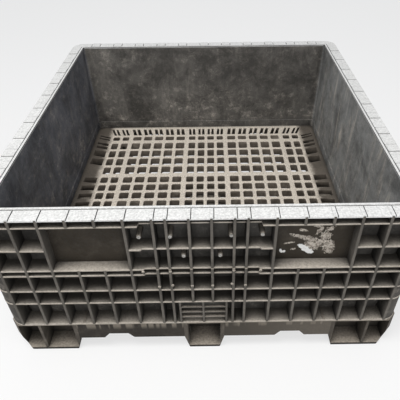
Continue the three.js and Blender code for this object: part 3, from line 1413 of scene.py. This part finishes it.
@dataclass
class FloorGrid(SubAssembly):
    """The floor: a plate with rows of cells between wide bars, and slots fanning out round it.

    Attributes:
        long_cells: Cells across the middle group and each group outside it.
        cross_cells: The same along the box.
        margin_x: From the field of cells to the walls, as is margin_y.
        corner_rows: Distance from the middle beyond which the side slots are split.
        fin: Thickness of the fin in a split slot.
        soft: Rounding of all edges.
        corner: Radius of the cells' corners.
        wobble: How uneven the cells' sides are.
    """

    long_beam_width: float = 22 * MM
    long_cells: tuple[int, int, int] = (4, 5, 2)
    cross_beam_width: float = 25 * MM
    cross_cells: tuple[int, int, int] = (5, 4, 1)
    bar: float = 15 * MM
    margin_x: float = 90 * MM
    margin_y: float = 92 * MM
    slot_gap: float = 16.3 * MM
    slot_length: float = 55.7 * MM
    slot_spread: float = 1.05
    slot_narrowing: float = 0.84
    depth: float = 34 * MM
    corner_rows: float = 290 * MM
    fin: float = 7 * MM
    soft: float = 2.6 * MM
    corner: float = 6 * MM
    wobble: float = 0.8 * MM

    def spans(self, beams: Point, width: float, cells: Sequence[int], end: float) -> list[Point]:
        """Stretches of the cells along one direction.

        Args:
            beams: Middles of the wide bars on one side.
            width: Width of the wide bars.
            cells: Number of cells in the middle group and in each group outside it.
            end: Where the last group ends.

        Returns:
            Start and end of each cell, sorted.
        """
        found = split((-beams[0] + width / 2, beams[0] - width / 2), cells[0], self.bar)
        starts = [b + width / 2 for b in beams]
        stops = [b - width / 2 for b in beams[1:]] + [end]
        for start, stop, count in zip(starts, stops, cells[1:]):
            group = split((start, stop), count, self.bar)
            found += group + [(-b, -a) for a, b in group]
        return sorted(found)

    def cell_outline(self, x: Point, y: Point, chance: random.Random) -> list[Point]:
        """A cell with round corners and slightly uneven sides.

        Args:
            x: Its start and end along X.
            y: Its start and end along Y.
            chance: Source of the unevenness.

        Returns:
            Its outline.
        """
        x0, x1, y0, y1 = (v + chance.uniform(-self.wobble, self.wobble) for v in (*x, *y))
        r = self.corner
        centres = ((x1 - r, y0 + r), (x1 - r, y1 - r), (x0 + r, y1 - r), (x0 + r, y0 + r))
        points: list[Point] = []
        for index, (cx, cy) in enumerate(centres):
            points += arc(cx, cy, r, arc_start(index), 3)
        return points

    def slot_outline(self, span: Point, start: float, side: int, across: bool) -> list[Point]:
        """A slot that narrows and slants outwards beside the field.

        Args:
            span: Its start and end along the field's edge.
            start: Distance of its near end from the middle.
            side: Sign of the side it lies on.
            across: Whether it runs along X.

        Returns:
            Its outline.
        """
        middle, half = (span[0] + span[1]) / 2, (span[1] - span[0]) / 2
        end, far = start + self.slot_length, middle * self.slot_spread
        narrow = half * self.slot_narrowing
        corners = [(start, middle - half), (end, far - narrow),
                   (end, far + narrow), (start, middle + half)]
        return [(side * out, along) if across else (along, side * out) for out, along in corners]

    def openings(self) -> list[list[Point]]:
        """Outlines of every opening of the floor.

        Returns:
            The cells, then the slots on each side.
        """
        s = self.sizes
        chance = random.Random(11)
        hx, hy = s.walls_at(s.floor_top)
        fx = hx - s.wall_thickness - self.margin_x
        fy = hy - s.wall_thickness - self.margin_y
        across = self.spans(s.long_beams, self.long_beam_width, self.long_cells, fx)
        along = self.spans(s.cross_beams, self.cross_beam_width, self.cross_cells, fy)
        found = [self.cell_outline(x, y, chance) for x in across for y in along]
        solid = s.cross_beams[0] + self.cross_beam_width / 2
        for side in (-1, 1):
            for span in along:
                near, far = sorted((abs(span[0]), abs(span[1])))
                if near < solid + NEAR and far > solid:
                    continue
                for part in split(span, 2 if near > self.corner_rows else 1, self.fin):
                    found.append(self.slot_outline(part, fx + self.slot_gap, side, True))
            for span in across:
                for part in split(span, 2, self.fin):
                    found.append(self.slot_outline(part, fy + self.slot_gap, side, False))
        return found

    def build(self) -> None:
        """Builds the floor as a filled curve with holes, thickened and softened."""
        s = self.sizes
        hx, hy = (half - SINK for half in s.walls_at(s.floor_top))
        curve = bpy.data.curves.new("floor_outline", "CURVE")
        curve.dimensions = "2D"
        curve.fill_mode = "BOTH"
        curve.extrude = self.depth / 2 - self.soft
        curve.bevel_depth = self.soft
        curve.bevel_resolution = 1
        curve.offset = -self.soft
        edge = [(sx * hx, sy * hy) for sx, sy in CORNERS[-1:] + CORNERS[:-1]]
        for outline in [edge, *self.openings()]:
            spline = curve.splines.new("POLY")
            spline.points.add(len(outline) - 1)
            for point, (x, y) in zip(spline.points, outline):
                point.co = (x, y, 0.0, 1.0)
            spline.use_cyclic_u = True
        shape = bpy.data.objects.new("floor_outline", curve)
        bpy.context.scene.collection.objects.link(shape)
        bm = bmesh.new()
        bm.from_mesh(evaluated_mesh(shape))
        bpy.data.objects.remove(shape)
        bmesh.ops.translate(bm, vec=(0.0, 0.0, s.floor_top - self.depth / 2), verts=bm.verts)
        self.dress(object_from(bm, "floor_grid", 1e-5), "grid")


def inwards(sign: int, half: float, near: float, far: float) -> Point:
    """A stretch measured inwards from one side of the box.

    Args:
        sign: Sign of the side.
        half: Distance of that side from the middle.
        near: Where the stretch starts, or less than 0 for outside.
        far: Where it ends.

    Returns:
        Its two ends.
    """
    return sign * (half - near), sign * (half - far)


@dataclass
class Base(SubAssembly):
    """The skirt, the nine feet with their pockets, and the beams below the floor.

    Attributes:
        notch_offset: Place of the skirt's notches on each side of the middle.
        draft: How far a foot leans in down to its sole.
        foot_wall: Thickness of the walls round the pockets.
        divider: Distance of the divider in a corner foot from the corner.
        over: How far a pocket's cutter stands out of the foot.
        play: How far the feet stay inside the overall size.
        corner_cut: Length of the cut at the box's corners.
        corner_reach: How near to both outer sides a point has to lie to be cut.
        skirt_overlap: How far the skirt runs into the feet.
        beam_inset: How far the beams end inside the overall size.
        beam_height: How far they end above the skirt's lower edge.
    """

    skirt_thickness: float = 6 * MM
    skirt_inset: float = 1 * MM
    skirt_overlap: float = 4 * MM
    notch_offset: float = 270 * MM
    notch_bottom: float = 94 * MM
    notch_top: float = 60 * MM
    notch_height: float = 21 * MM
    corner_size: float = 204 * MM
    middle_width: float = 126 * MM
    middle_depth: float = 150 * MM
    draft: float = 14 * MM
    sole: float = 10 * MM
    foot_wall: float = 12 * MM
    divider: float = 90 * MM
    ledge_height: float = 96 * MM
    ledge_thickness: float = 4 * MM
    ledge_depth: float = 7 * MM
    pocket: float = 60 * MM
    web: float = 8 * MM
    beam: float = 8 * MM
    cross_beam_depth: float = 34 * MM
    beam_inset: float = 4 * MM
    beam_height: float = 6 * MM
    over: float = 5 * MM
    play: float = 0.6 * MM
    corner_cut: float = 26 * MM
    corner_reach: float = 20 * MM
    edge: float = 1.4 * MM

    def skirt(self) -> bpy.types.Object:
        """The skirt between the feet, with raised notches at the front and back.

        Returns:
            The skirt.
        """
        s = self.sizes
        half_b, half_t = self.notch_bottom / 2, self.notch_top / 2
        middle = self.notch_offset
        rises = [(middle - half_b, 0.0), (middle - half_t, self.notch_height),
                 (middle + half_t, self.notch_height), (middle + half_b, 0.0)]
        bm = bmesh.new()
        for wall in Wall:
            along, offset = s.run(wall)
            first = self.middle_width / 2 - self.skirt_overlap
            last = along - self.corner_size + self.skirt_overlap
            front, back = -offset + self.skirt_inset, -offset + self.skirt_thickness
            for sign in (-1, 1):
                rings = []
                for x, lift in [(first, 0.0), *(rises if wall.across else []), (last, 0.0)]:
                    low, high = s.foot_height + lift, s.lip_bottom + SINK
                    corners = [(front, low), (front, high), (back, high), (back, low)]
                    rings.append([Vector((*turned([(sign * x, y)], wall.value)[0], z))
                                  for y, z in corners])
                loft(bm, rings, False, True)
        return object_from(bm, "skirt", 1e-7)

    def ledges(self) -> bpy.types.Object:
        """Small ledges on the back walls of the feet's outer pockets.

        Returns:
            The ledges as one piece.
        """
        s = self.sizes
        bm = bmesh.new()
        z0, z1 = self.ledge_height - self.ledge_thickness, self.ledge_height
        inner = self.middle_width / 2 - self.foot_wall
        wide = s.half_x - self.corner_size + self.foot_wall
        for x0, x1, depth in ((wide, s.half_x - self.divider, self.pocket),
                              (-inner, inner, (self.middle_depth - self.web) / 2)):
            for side in (-1, 1):
                low, high = sorted(side * (s.half_y - depth + out)
                                   for out in (-SINK, self.ledge_depth))
                for sign in (-1, 1):
                    left, right = sorted((sign * x0, sign * x1))
                    add_block(bm, (left, low, z0), (right, high, z1), 1 * MM)
        return object_from(bm, "foot_ledges")

    def foot_ring(self, z: float, inset: float, half: Point, centre: Point) -> Ring:
        """A foot's outline at a height, cut at the corner of the box.

        Args:
            z: The height.
            inset: How far the foot leans in there.
            half: Half sizes in plan.
            centre: Middle in plan.

        Returns:
            Eight points, anticlockwise.
        """
        limit_x, limit_y = self.sizes.half_x - self.play, self.sizes.half_y - self.play
        upright = abs(centre[1]) + half[1] > limit_y
        outer = math.copysign(inset, centre[1]) if upright else 0.0
        ring: list[Point] = []
        for a, b in CORNERS[-1:] + CORNERS[:-1]:
            x = centre[0] + a * (half[0] - inset)
            y = centre[1] + b * (half[1] - inset) + (outer if b * centre[1] > 0 else 0.0)
            x, y = min(max(x, -limit_x), limit_x), min(max(y, -limit_y), limit_y)
            cut = 0.0
            if min(abs(x) - limit_x, abs(y) - limit_y) > -self.corner_reach:
                cut = self.corner_cut
            ring += [(x, y - math.copysign(cut, y)), (x - math.copysign(cut, x), y)]
        cx, cy = (sum(values) / len(ring) for values in zip(*ring))
        ring.sort(key=lambda p: math.atan2(p[1] - cy, p[0] - cx))
        return [Vector((x, y, z)) for x, y in ring]

    def foot(self, name: str, half: Point, centre: Point,
             pockets: Sequence[tuple[Point, Point]]) -> None:
        """Builds and dresses one drafted foot with pockets cut into it.

        Args:
            name: The piece's name.
            half: Half sizes in plan.
            centre: Middle in plan.
            pockets: Spans in X and Y of the pockets, above the sole.
        """
        s = self.sizes
        levels = ((0.0, self.draft + 2 * MM), (2 * MM, self.draft),
                  (s.foot_height, 0.0), (s.lip_bottom + 1 * MM, 0.0))
        bm = bmesh.new()
        loft(bm, [self.foot_ring(z, inset, half, centre) for z, inset in levels], False, True)
        obj = object_from(bm, name)
        cutter = bmesh.new()
        for x, y in pockets:
            add_block(cutter, (min(x), min(y), self.sole), (max(x), max(y), s.lip_bottom))
        cut_with(obj, object_from(cutter, "pockets"))
        soften(obj, self.edge)
        self.dress(obj, "feet")

    def corner_feet(self) -> None:
        """The four feet at the corners."""
        s = self.sizes
        half = self.corner_size / 2
        outside = (-self.over, self.pocket)
        far, deep = self.corner_size - self.foot_wall, self.pocket + self.web
        spans = (
            ((self.foot_wall + self.web, self.divider - self.web / 2), outside),
            ((self.divider + self.web / 2, far), outside),
            (outside, (deep, far)),
            ((deep, far), (deep, self.corner_size + self.over)),
        )
        for sx, across in ((-1, "left"), (1, "right")):
            for sy, along in ((-1, "front"), (1, "back")):
                pockets = [(inwards(sx, s.half_x, *x), inwards(sy, s.half_y, *y))
                           for x, y in spans]
                centre = (sx * (s.half_x - half), sy * (s.half_y - half))
                self.foot(f"foot_{across}_{along}", (half, half), centre, pockets)

    def middle_feet(self) -> None:
        """The feet at the middle of each wall and of the box."""
        width, depth = self.middle_width / 2, self.middle_depth / 2
        across = (-width + self.foot_wall, width - self.foot_wall)
        end = (self.middle_depth - self.web) / 2
        for wall, sign in ((Wall.FRONT, -1), (Wall.BACK, 1), (Wall.LEFT, -1), (Wall.RIGHT, 1)):
            side = self.sizes.run(wall)[1]
            spans = (inwards(sign, side, -self.over, end),
                     inwards(sign, side - self.middle_depth, -end, self.over))
            pockets = [(across, span) for span in spans]
            half, centre = (width, depth), (0.0, sign * (side - depth))
            if not wall.across:
                pockets = [pocket[::-1] for pocket in pockets]
                half, centre = half[::-1], centre[::-1]
            self.foot(f"foot_middle_{wall.name.lower()}", half, centre, pockets)
        pockets = [(across, (sign * self.web / 2, sign * (width + self.over)))
                   for sign in (-1, 1)]
        self.foot("foot_centre", (width, width), (0.0, 0.0), pockets)

    def beams(self) -> bpy.types.Object:
        """The beams below the wide bars of the floor.

        Returns:
            The beams as one piece.
        """
        s = self.sizes
        bm = bmesh.new()
        t = self.beam / 2
        z0, z1 = s.foot_height + self.beam_height, s.floor_top - s.floor_thickness + SINK
        lx, ly = s.half_x - self.beam_inset, s.half_y - self.beam_inset
        for x in (sign * place for place in s.long_beams for sign in (-1, 1)):
            add_block(bm, (x - t, -ly, z0), (x + t, ly, z1), 1 * MM)
        shallow = z1 - self.cross_beam_depth
        for y in (sign * place for place in s.cross_beams for sign in (-1, 1)):
            add_block(bm, (-lx, y - t, shallow), (lx, y + t, z1), 1 * MM)
        return object_from(bm, "beams")

    def build(self) -> None:
        """Builds and dresses the base."""
        self.dress(self.skirt(), "skirt")
        self.dress(self.ledges(), "shelves")
        self.corner_feet()
        self.middle_feet()
        self.dress(self.beams(), "feet")


@dataclass(frozen=True)
class Oval:
    """An oval of a torn scrap, in millimetres and degrees.

    Attributes:
        x: Its middle across the wall.
        z: Its middle's height.
        a: Its first radius.
        b: Its second radius.
        turn: Its turn.
    """

    x: float
    z: float
    a: float
    b: float
    turn: float

    def depth(self, x: float, z: float) -> float:
        """How deep a place lies in the oval: 1 in its middle, 0 on its edge and less outside.

        Args:
            x: A place across the wall.
            z: Its height.

        Returns:
            The depth.
        """
        c, s = math.cos(math.radians(self.turn)), math.sin(math.radians(self.turn))
        u = ((x - self.x) * c + (z - self.z) * s) / self.a
        v = ((z - self.z) * c - (x - self.x) * s) / self.b
        return 1.0 - math.hypot(u, v)


@dataclass(frozen=True)
class Scrap:
    """A torn scrap on the right label panel.

    Attributes:
        name: The piece's name.
        finish: Its finish.
        pores: How torn it is, from 0 to 1.
        proud: How far it stands off the panel.
        ovals: What it is made of.
    """

    name: str
    finish: str
    pores: float
    proud: float
    ovals: Sequence[Oval]


SCRAPS = (
    Scrap("label_scrap", "paper", 0.1, 0.9 * MM,
          (Oval(284, 421, 25, 9, -42), Oval(293, 412, 16, 8, -30))),
    Scrap("label_crescent", "paper", 0.3, 0.6 * MM,
          (Oval(224, 410, 9, 4, 12), Oval(218, 414, 4, 6, 20))),
    Scrap("label_crust", "crust", 1.0, 0.5 * MM,
          (Oval(263, 468, 27, 7, -18), Oval(238, 443, 15, 3.5, 12), Oval(303, 437, 27, 24, -20),
           Oval(349, 426, 17, 30, 5), Oval(335, 469, 17, 17, 0), Oval(311, 505, 16, 6, -20),
           Oval(342, 495, 15, 7, 30), Oval(271, 491, 13, 5, -15), Oval(290, 458, 28, 10, -20),
           Oval(327, 446, 24, 14, 0), Oval(316, 488, 6, 16, -30), Oval(251, 419, 8, 4, 10))),
)
BAY_STUDS = ((-161, 497), (-80, 497), (-48, 424), (51, 424), (80, 499), (161, 501))
RIB_TIPS = ((-122, 307), (-84, 312), (-29, 309), (29, 309), (84, 315), (122, 309),
            (-162, 371), (-87, 371), (88, 372), (162, 371))


@dataclass
class FrontDetails(SubAssembly):
    """The front wall's label panels, small grille, gate studs and scraps of old label."""

    layout: RibLayout
    label_depth: float = 34 * MM
    rail: float = 9 * MM
    rail_height: float = 1.5 * MM
    grille_half: float = 72 * MM
    grille_bars: int = 3
    bar_height: float = 4.5 * MM
    bar_depth: float = 9 * MM
    post: float = 6 * MM
    stud_radius: float = 7.5 * MM
    face_radius: float = 5.2 * MM
    tip_radius: float = 4.2 * MM
    stud_sides: int = 20
    scrap_cell: float = 1.1

    def panels(self) -> bpy.types.Object:
        """The two flat label panels with a shallow raised strip at each end.

        Returns:
            The panels as one piece.
        """
        s = self.sizes
        low, high = self.layout.label_range()
        bm = bmesh.new()
        front = -s.half_y + self.label_depth
        z0, z1 = s.band_upper - SINK, s.sub_rim
        back = -s.walls_at(z0)[1] + SINK
        raised = front - self.rail_height
        for side in (-1, 1):
            x0, x1 = sorted((side * (low - 1 * MM), side * (high + 1 * MM)))
            add_block(bm, (x0, front, z0), (x1, back, z1))
            add_block(bm, (x0, raised, z0), (x0 + self.rail, back, z1), 0.7 * MM)
            add_block(bm, (x1 - self.rail, raised, z0), (x1, back, z1), 0.7 * MM)
        return object_from(bm, "label_panels")

    def grille(self) -> bpy.types.Object:
        """Three posts and three thin bars in the middle bay above the lip.

        Returns:
            The grille as one piece.
        """
        s = self.sizes
        bm = bmesh.new()
        front = -s.half_y + 0.8 * MM
        z0, z1 = s.lip_top - 1 * MM, s.shelf_d - s.shelf_thickness + 1 * MM
        half = self.post / 2
        middles = (-self.grille_half + half, 0.0, self.grille_half - half)
        for x in middles:
            add_block(bm, (x - half, front, z0), (x + half, front + self.bar_depth, z1), 0.9 * MM)
        step = (z1 - z0) / (self.grille_bars + 1)
        for index in range(self.grille_bars):
            z = z0 + (index + 1) * step
            low = (middles[0], front + 0.6 * MM, z - self.bar_height / 2)
            high = (middles[2], front + self.bar_depth - 1 * MM, z + self.bar_height / 2)
            add_block(bm, low, high, 0.9 * MM)
        return object_from(bm, "grille")

    def stud(self, length: float, radius: float) -> bpy.types.Object:
        """A round stub that points to -Y, with a small tip.

        Args:
            length: Its length.
            radius: Its radius.

        Returns:
            The pattern piece.
        """
        profile = [(radius * 1.12, 0.0), (radius, -length * 0.6), (radius, -length + 1 * MM),
                   (radius - 1 * MM, -length), (radius * 0.35, -length),
                   (radius * 0.3, -length + 2 * MM)]
        turns = [2 * math.pi * i / self.stud_sides for i in range(self.stud_sides)]
        rings = [[Vector((r * math.cos(a), y, r * math.sin(a))) for a in turns]
                 for r, y in profile]
        bm = bmesh.new()
        loft(bm, rings, False, True)
        return object_from(bm, "pattern")

    def studs(self, copier: Copier) -> None:
        """Gate studs in the middle zone: long ones in the bays and short ones on the ribs.

        Args:
            copier: Sets the copies.
        """
        s = self.sizes
        wall = -s.walls_at(s.floor_top)[1]
        reach = s.pocket_depth - 4 * MM
        rows = (
            ("gate_studs", "panels", reach, self.stud_radius, wall, BAY_STUDS),
            ("gate_tips", "shelves", 2 * MM, self.tip_radius, -s.half_y + 1 * MM, RIB_TIPS),
            ("gate_stud_faces", "tips", 3 * MM, self.face_radius, wall - reach + 1 * MM,
             BAY_STUDS),
        )
        for name, finish, length, radius, y, places in rows:
            spots = [Vector((x * MM, y, z * MM)) for x, z in places]
            self.dress(copier.on_places(name, self.stud(length, radius), spots), finish)

    def scrap(self, scrap: Scrap) -> bpy.types.Object:
        """Builds a torn scrap from small squares, kept where ovals and noise allow.

        Args:
            scrap: What it is like.

        Returns:
            The scrap.
        """
        front = -self.sizes.half_y + self.label_depth
        cell, ovals, pores = self.scrap_cell, scrap.ovals, scrap.pores
        x0, x1 = min(o.x - o.a for o in ovals), max(o.x + o.a for o in ovals)
        z0 = min(o.z - max(o.a, o.b) for o in ovals)
        z1 = max(o.z + max(o.a, o.b) for o in ovals)
        bm = bmesh.new()
        grid: dict[tuple[int, int], bmesh.types.BMVert] = {}

        def vertex(i: int, j: int) -> bmesh.types.BMVert:
            """The vertex at a node of the squares, made when it is first asked for."""
            if (i, j) not in grid:
                lift = 0.8 * MM * noise.noise(Vector((i * 0.35, j * 0.35, 7.0)))
                place = ((x0 + i * cell) * MM, front - scrap.proud + lift, (z0 + j * cell) * MM)
                grid[i, j] = bm.verts.new(place)
            return grid[i, j]

        for i in range(int((x1 - x0) / cell) + 1):
            for j in range(int((z1 - z0) / cell) + 1):
                x, z = x0 + (i + 0.5) * cell, z0 + (j + 0.5) * cell
                inside = max(oval.depth(x, z) for oval in ovals)
                rough = noise.noise(Vector((x * 0.16, z * 0.16, 1.0))) * 0.6
                torn = noise.noise(Vector((x * 0.33, z * 0.33, 4.0))) * 1.6 * pores
                if inside + rough * 0.6 + min(torn, 0.1) > 0.12 * pores:
                    bm.faces.new((vertex(i, j), vertex(i + 1, j),
                                  vertex(i + 1, j + 1), vertex(i, j + 1)))
        obj = object_from(bm, scrap.name)
        solid = obj.modifiers.new("paper", "SOLIDIFY")
        solid.thickness = 0.7 * MM
        solid.offset = 0.0
        apply_modifiers(obj)
        return obj

    def build(self, copier: Copier) -> None:
        """Builds and dresses the details.

        Args:
            copier: Sets the copies.
        """
        self.studs(copier)
        self.dress(self.panels(), "panels")
        self.dress(self.grille(), "ribs")
        for scrap in SCRAPS:
            self.dress(self.scrap(scrap), scrap.finish)


@dataclass(frozen=True)
class Lamp:
    """A soft area light.

    Attributes:
        name: Its name.
        place: Where it hangs.
        target: What it points at.
        size: Its side length.
        power: Its power in watts.
        colour: Its colour.
    """

    name: str
    place: tuple[float, float, float]
    target: tuple[float, float, float]
    size: float
    power: float
    colour: Colour

    def build(self) -> None:
        """Adds the light to the scene."""
        data = bpy.data.lights.new(self.name, "AREA")
        data.shape = "SQUARE"
        data.size = self.size
        data.energy = self.power
        data.color = self.colour
        lamp = bpy.data.objects.new(self.name, data)
        lamp.location = self.place
        aim = Vector(self.target) - Vector(self.place)
        lamp.rotation_euler = aim.to_track_quat("-Z", "Y").to_euler()
        bpy.context.scene.collection.objects.link(lamp)


LAMPS = (
    Lamp("top_light", (-0.55, -1.1, 3.45), (0.0, 0.0, 0.3), 1.3, 72.0, (1.0, 0.99, 0.97)),
    Lamp("front_light", (0.4, -3.4, 1.9), (0.0, -0.4, 0.3), 2.6, 38.0, (1.0, 0.98, 0.95)),
)


@dataclass(frozen=True)
class Studio:
    """Camera, soft light and a plain pale floor.

    Attributes:
        place: Where the camera stands.
        pitch: How far it looks down, in radians.
        yaw: How far it looks to the right.
        roll: Its roll.
        focal: Focal length in pixels.
        middle: Pixel that the camera's axis meets.
        picture: Side of the square picture in pixels.
        sensor: Width of the camera's sensor in millimetres.
        sky: Colour of the light from all round.
        sky_strength: Its strength.
        floor_glow: How much of the floor the camera sees as plain white.
    """

    place: tuple[float, float, float] = (0.0363, -1.3985, 1.3089)
    pitch: float = math.radians(37.542)
    yaw: float = math.radians(0.368)
    roll: float = math.radians(-0.543)
    focal: float = 437.39
    middle: Point = (216.08, 177.74)
    picture: float = 400.0
    sensor: float = 36.0
    sky: Colour = (0.93, 0.96, 1.0)
    sky_strength: float = 0.38
    floor_glow: float = 0.65

    def camera(self) -> None:
        """Sets the camera at the photograph's angle."""
        data = bpy.data.cameras.new("camera")
        data.sensor_width = self.sensor
        data.sensor_fit = "HORIZONTAL"
        data.lens = self.focal / self.picture * data.sensor_width
        data.shift_x = (self.picture / 2 - self.middle[0]) / self.picture
        data.shift_y = (self.middle[1] - self.picture / 2) / self.picture
        data.clip_end = 60.0
        forward = Vector((math.sin(self.yaw) * math.cos(self.pitch),
                          math.cos(self.yaw) * math.cos(self.pitch), -math.sin(self.pitch)))
        right = Vector((math.cos(self.yaw), -math.sin(self.yaw), 0.0))
        up = right.cross(forward)
        x_axis = right * math.cos(self.roll) + up * math.sin(self.roll)
        y_axis = up * math.cos(self.roll) - right * math.sin(self.roll)
        turn = Matrix((x_axis, y_axis, -forward)).transposed().to_4x4()
        camera = bpy.data.objects.new("camera", data)
        camera.matrix_world = Matrix.Translation(self.place) @ turn
        bpy.context.scene.collection.objects.link(camera)
        bpy.context.scene.camera = camera

    def world(self) -> None:
        """Sets soft grey surroundings that show white to the camera."""
        world = bpy.data.worlds.new("surroundings")
        bpy.context.scene.world = world
        world.use_nodes = True
        nodes, links = world.node_tree.nodes, world.node_tree.links
        nodes.clear()
        rays = nodes.new("ShaderNodeLightPath")
        seen = nodes.new("ShaderNodeMath")
        seen.operation = "MAXIMUM"
        mix = nodes.new("ShaderNodeMixShader")
        out = nodes.new("ShaderNodeOutputWorld")
        links.new(rays.outputs["Is Camera Ray"], seen.inputs[0])
        links.new(rays.outputs["Is Glossy Ray"], seen.inputs[1])
        links.new(seen.outputs[0], mix.inputs["Fac"])
        white = (1.0, 1.0, 1.0)
        for index, colour, strength in ((1, self.sky, self.sky_strength), (2, white, 1.0)):
            light = nodes.new("ShaderNodeBackground")
            light.inputs["Color"].default_value = (*colour, 1.0)
            light.inputs["Strength"].default_value = strength
            links.new(light.outputs[0], mix.inputs[index])
        links.new(mix.outputs[0], out.inputs["Surface"])

    def ground(self) -> None:
        """Lays a large pale floor."""
        bm = bmesh.new()
        bmesh.ops.create_grid(bm, x_segments=1, y_segments=1, size=14.0)
        bmesh.ops.translate(bm, vec=(0.0, 0.0, -0.5 * MM), verts=bm.verts)
        floor = object_from(bm, "studio_floor")
        material = bpy.data.materials.new("studio_floor")
        material.use_nodes = True
        nodes, links = material.node_tree.nodes, material.node_tree.links
        shader = nodes["Principled BSDF"]
        shader.inputs["Base Color"].default_value = (0.92, 0.92, 0.92, 1.0)
        shader.inputs["Roughness"].default_value = 0.95
        shader.inputs["Specular IOR Level"].default_value = 0.1
        rays = nodes.new("ShaderNodeLightPath")
        white = nodes.new("ShaderNodeEmission")
        share = nodes.new("ShaderNodeMath")
        share.operation = "MULTIPLY"
        share.inputs[1].default_value = self.floor_glow
        mix = nodes.new("ShaderNodeMixShader")
        links.new(rays.outputs["Is Camera Ray"], share.inputs[0])
        links.new(share.outputs[0], mix.inputs["Fac"])
        links.new(shader.outputs["BSDF"], mix.inputs[1])
        links.new(white.outputs["Emission"], mix.inputs[2])
        links.new(mix.outputs[0], nodes["Material Output"].inputs["Surface"])
        floor.data.materials.append(material)

    def build(self) -> None:
        """Builds the studio."""
        self.camera()
        self.world()
        self.ground()
        for lamp in LAMPS:
            lamp.build()


def main() -> None:
    """Builds the box around the frame, and the studio."""
    logging.basicConfig(level=logging.INFO, format="%(name)s %(message)s")
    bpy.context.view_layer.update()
    low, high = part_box(BODY_NODE)
    sizes = Sizes(half_x=(high[0] - low[0]) / 2, half_y=(high[1] - low[1]) / 2, height=high[2])
    materials = {name: finish.build() for name, finish in FINISHES.items()}
    copier = Copier()
    layout = RibLayout(sizes)
    Walls(sizes, materials).build()
    Ribs(sizes, materials, layout).build(copier)
    Shelves(sizes, materials, layout).build()
    CornerSkins(sizes, materials).build()
    Rim(sizes, materials, layout).build(copier)
    FloorGrid(sizes, materials).build()
    Base(sizes, materials).build()
    FrontDetails(sizes, materials, layout).build(copier)
    Studio().build()
    bpy.context.scene.view_settings.view_transform = "Standard"


if __name__ == "__main__":
    main()
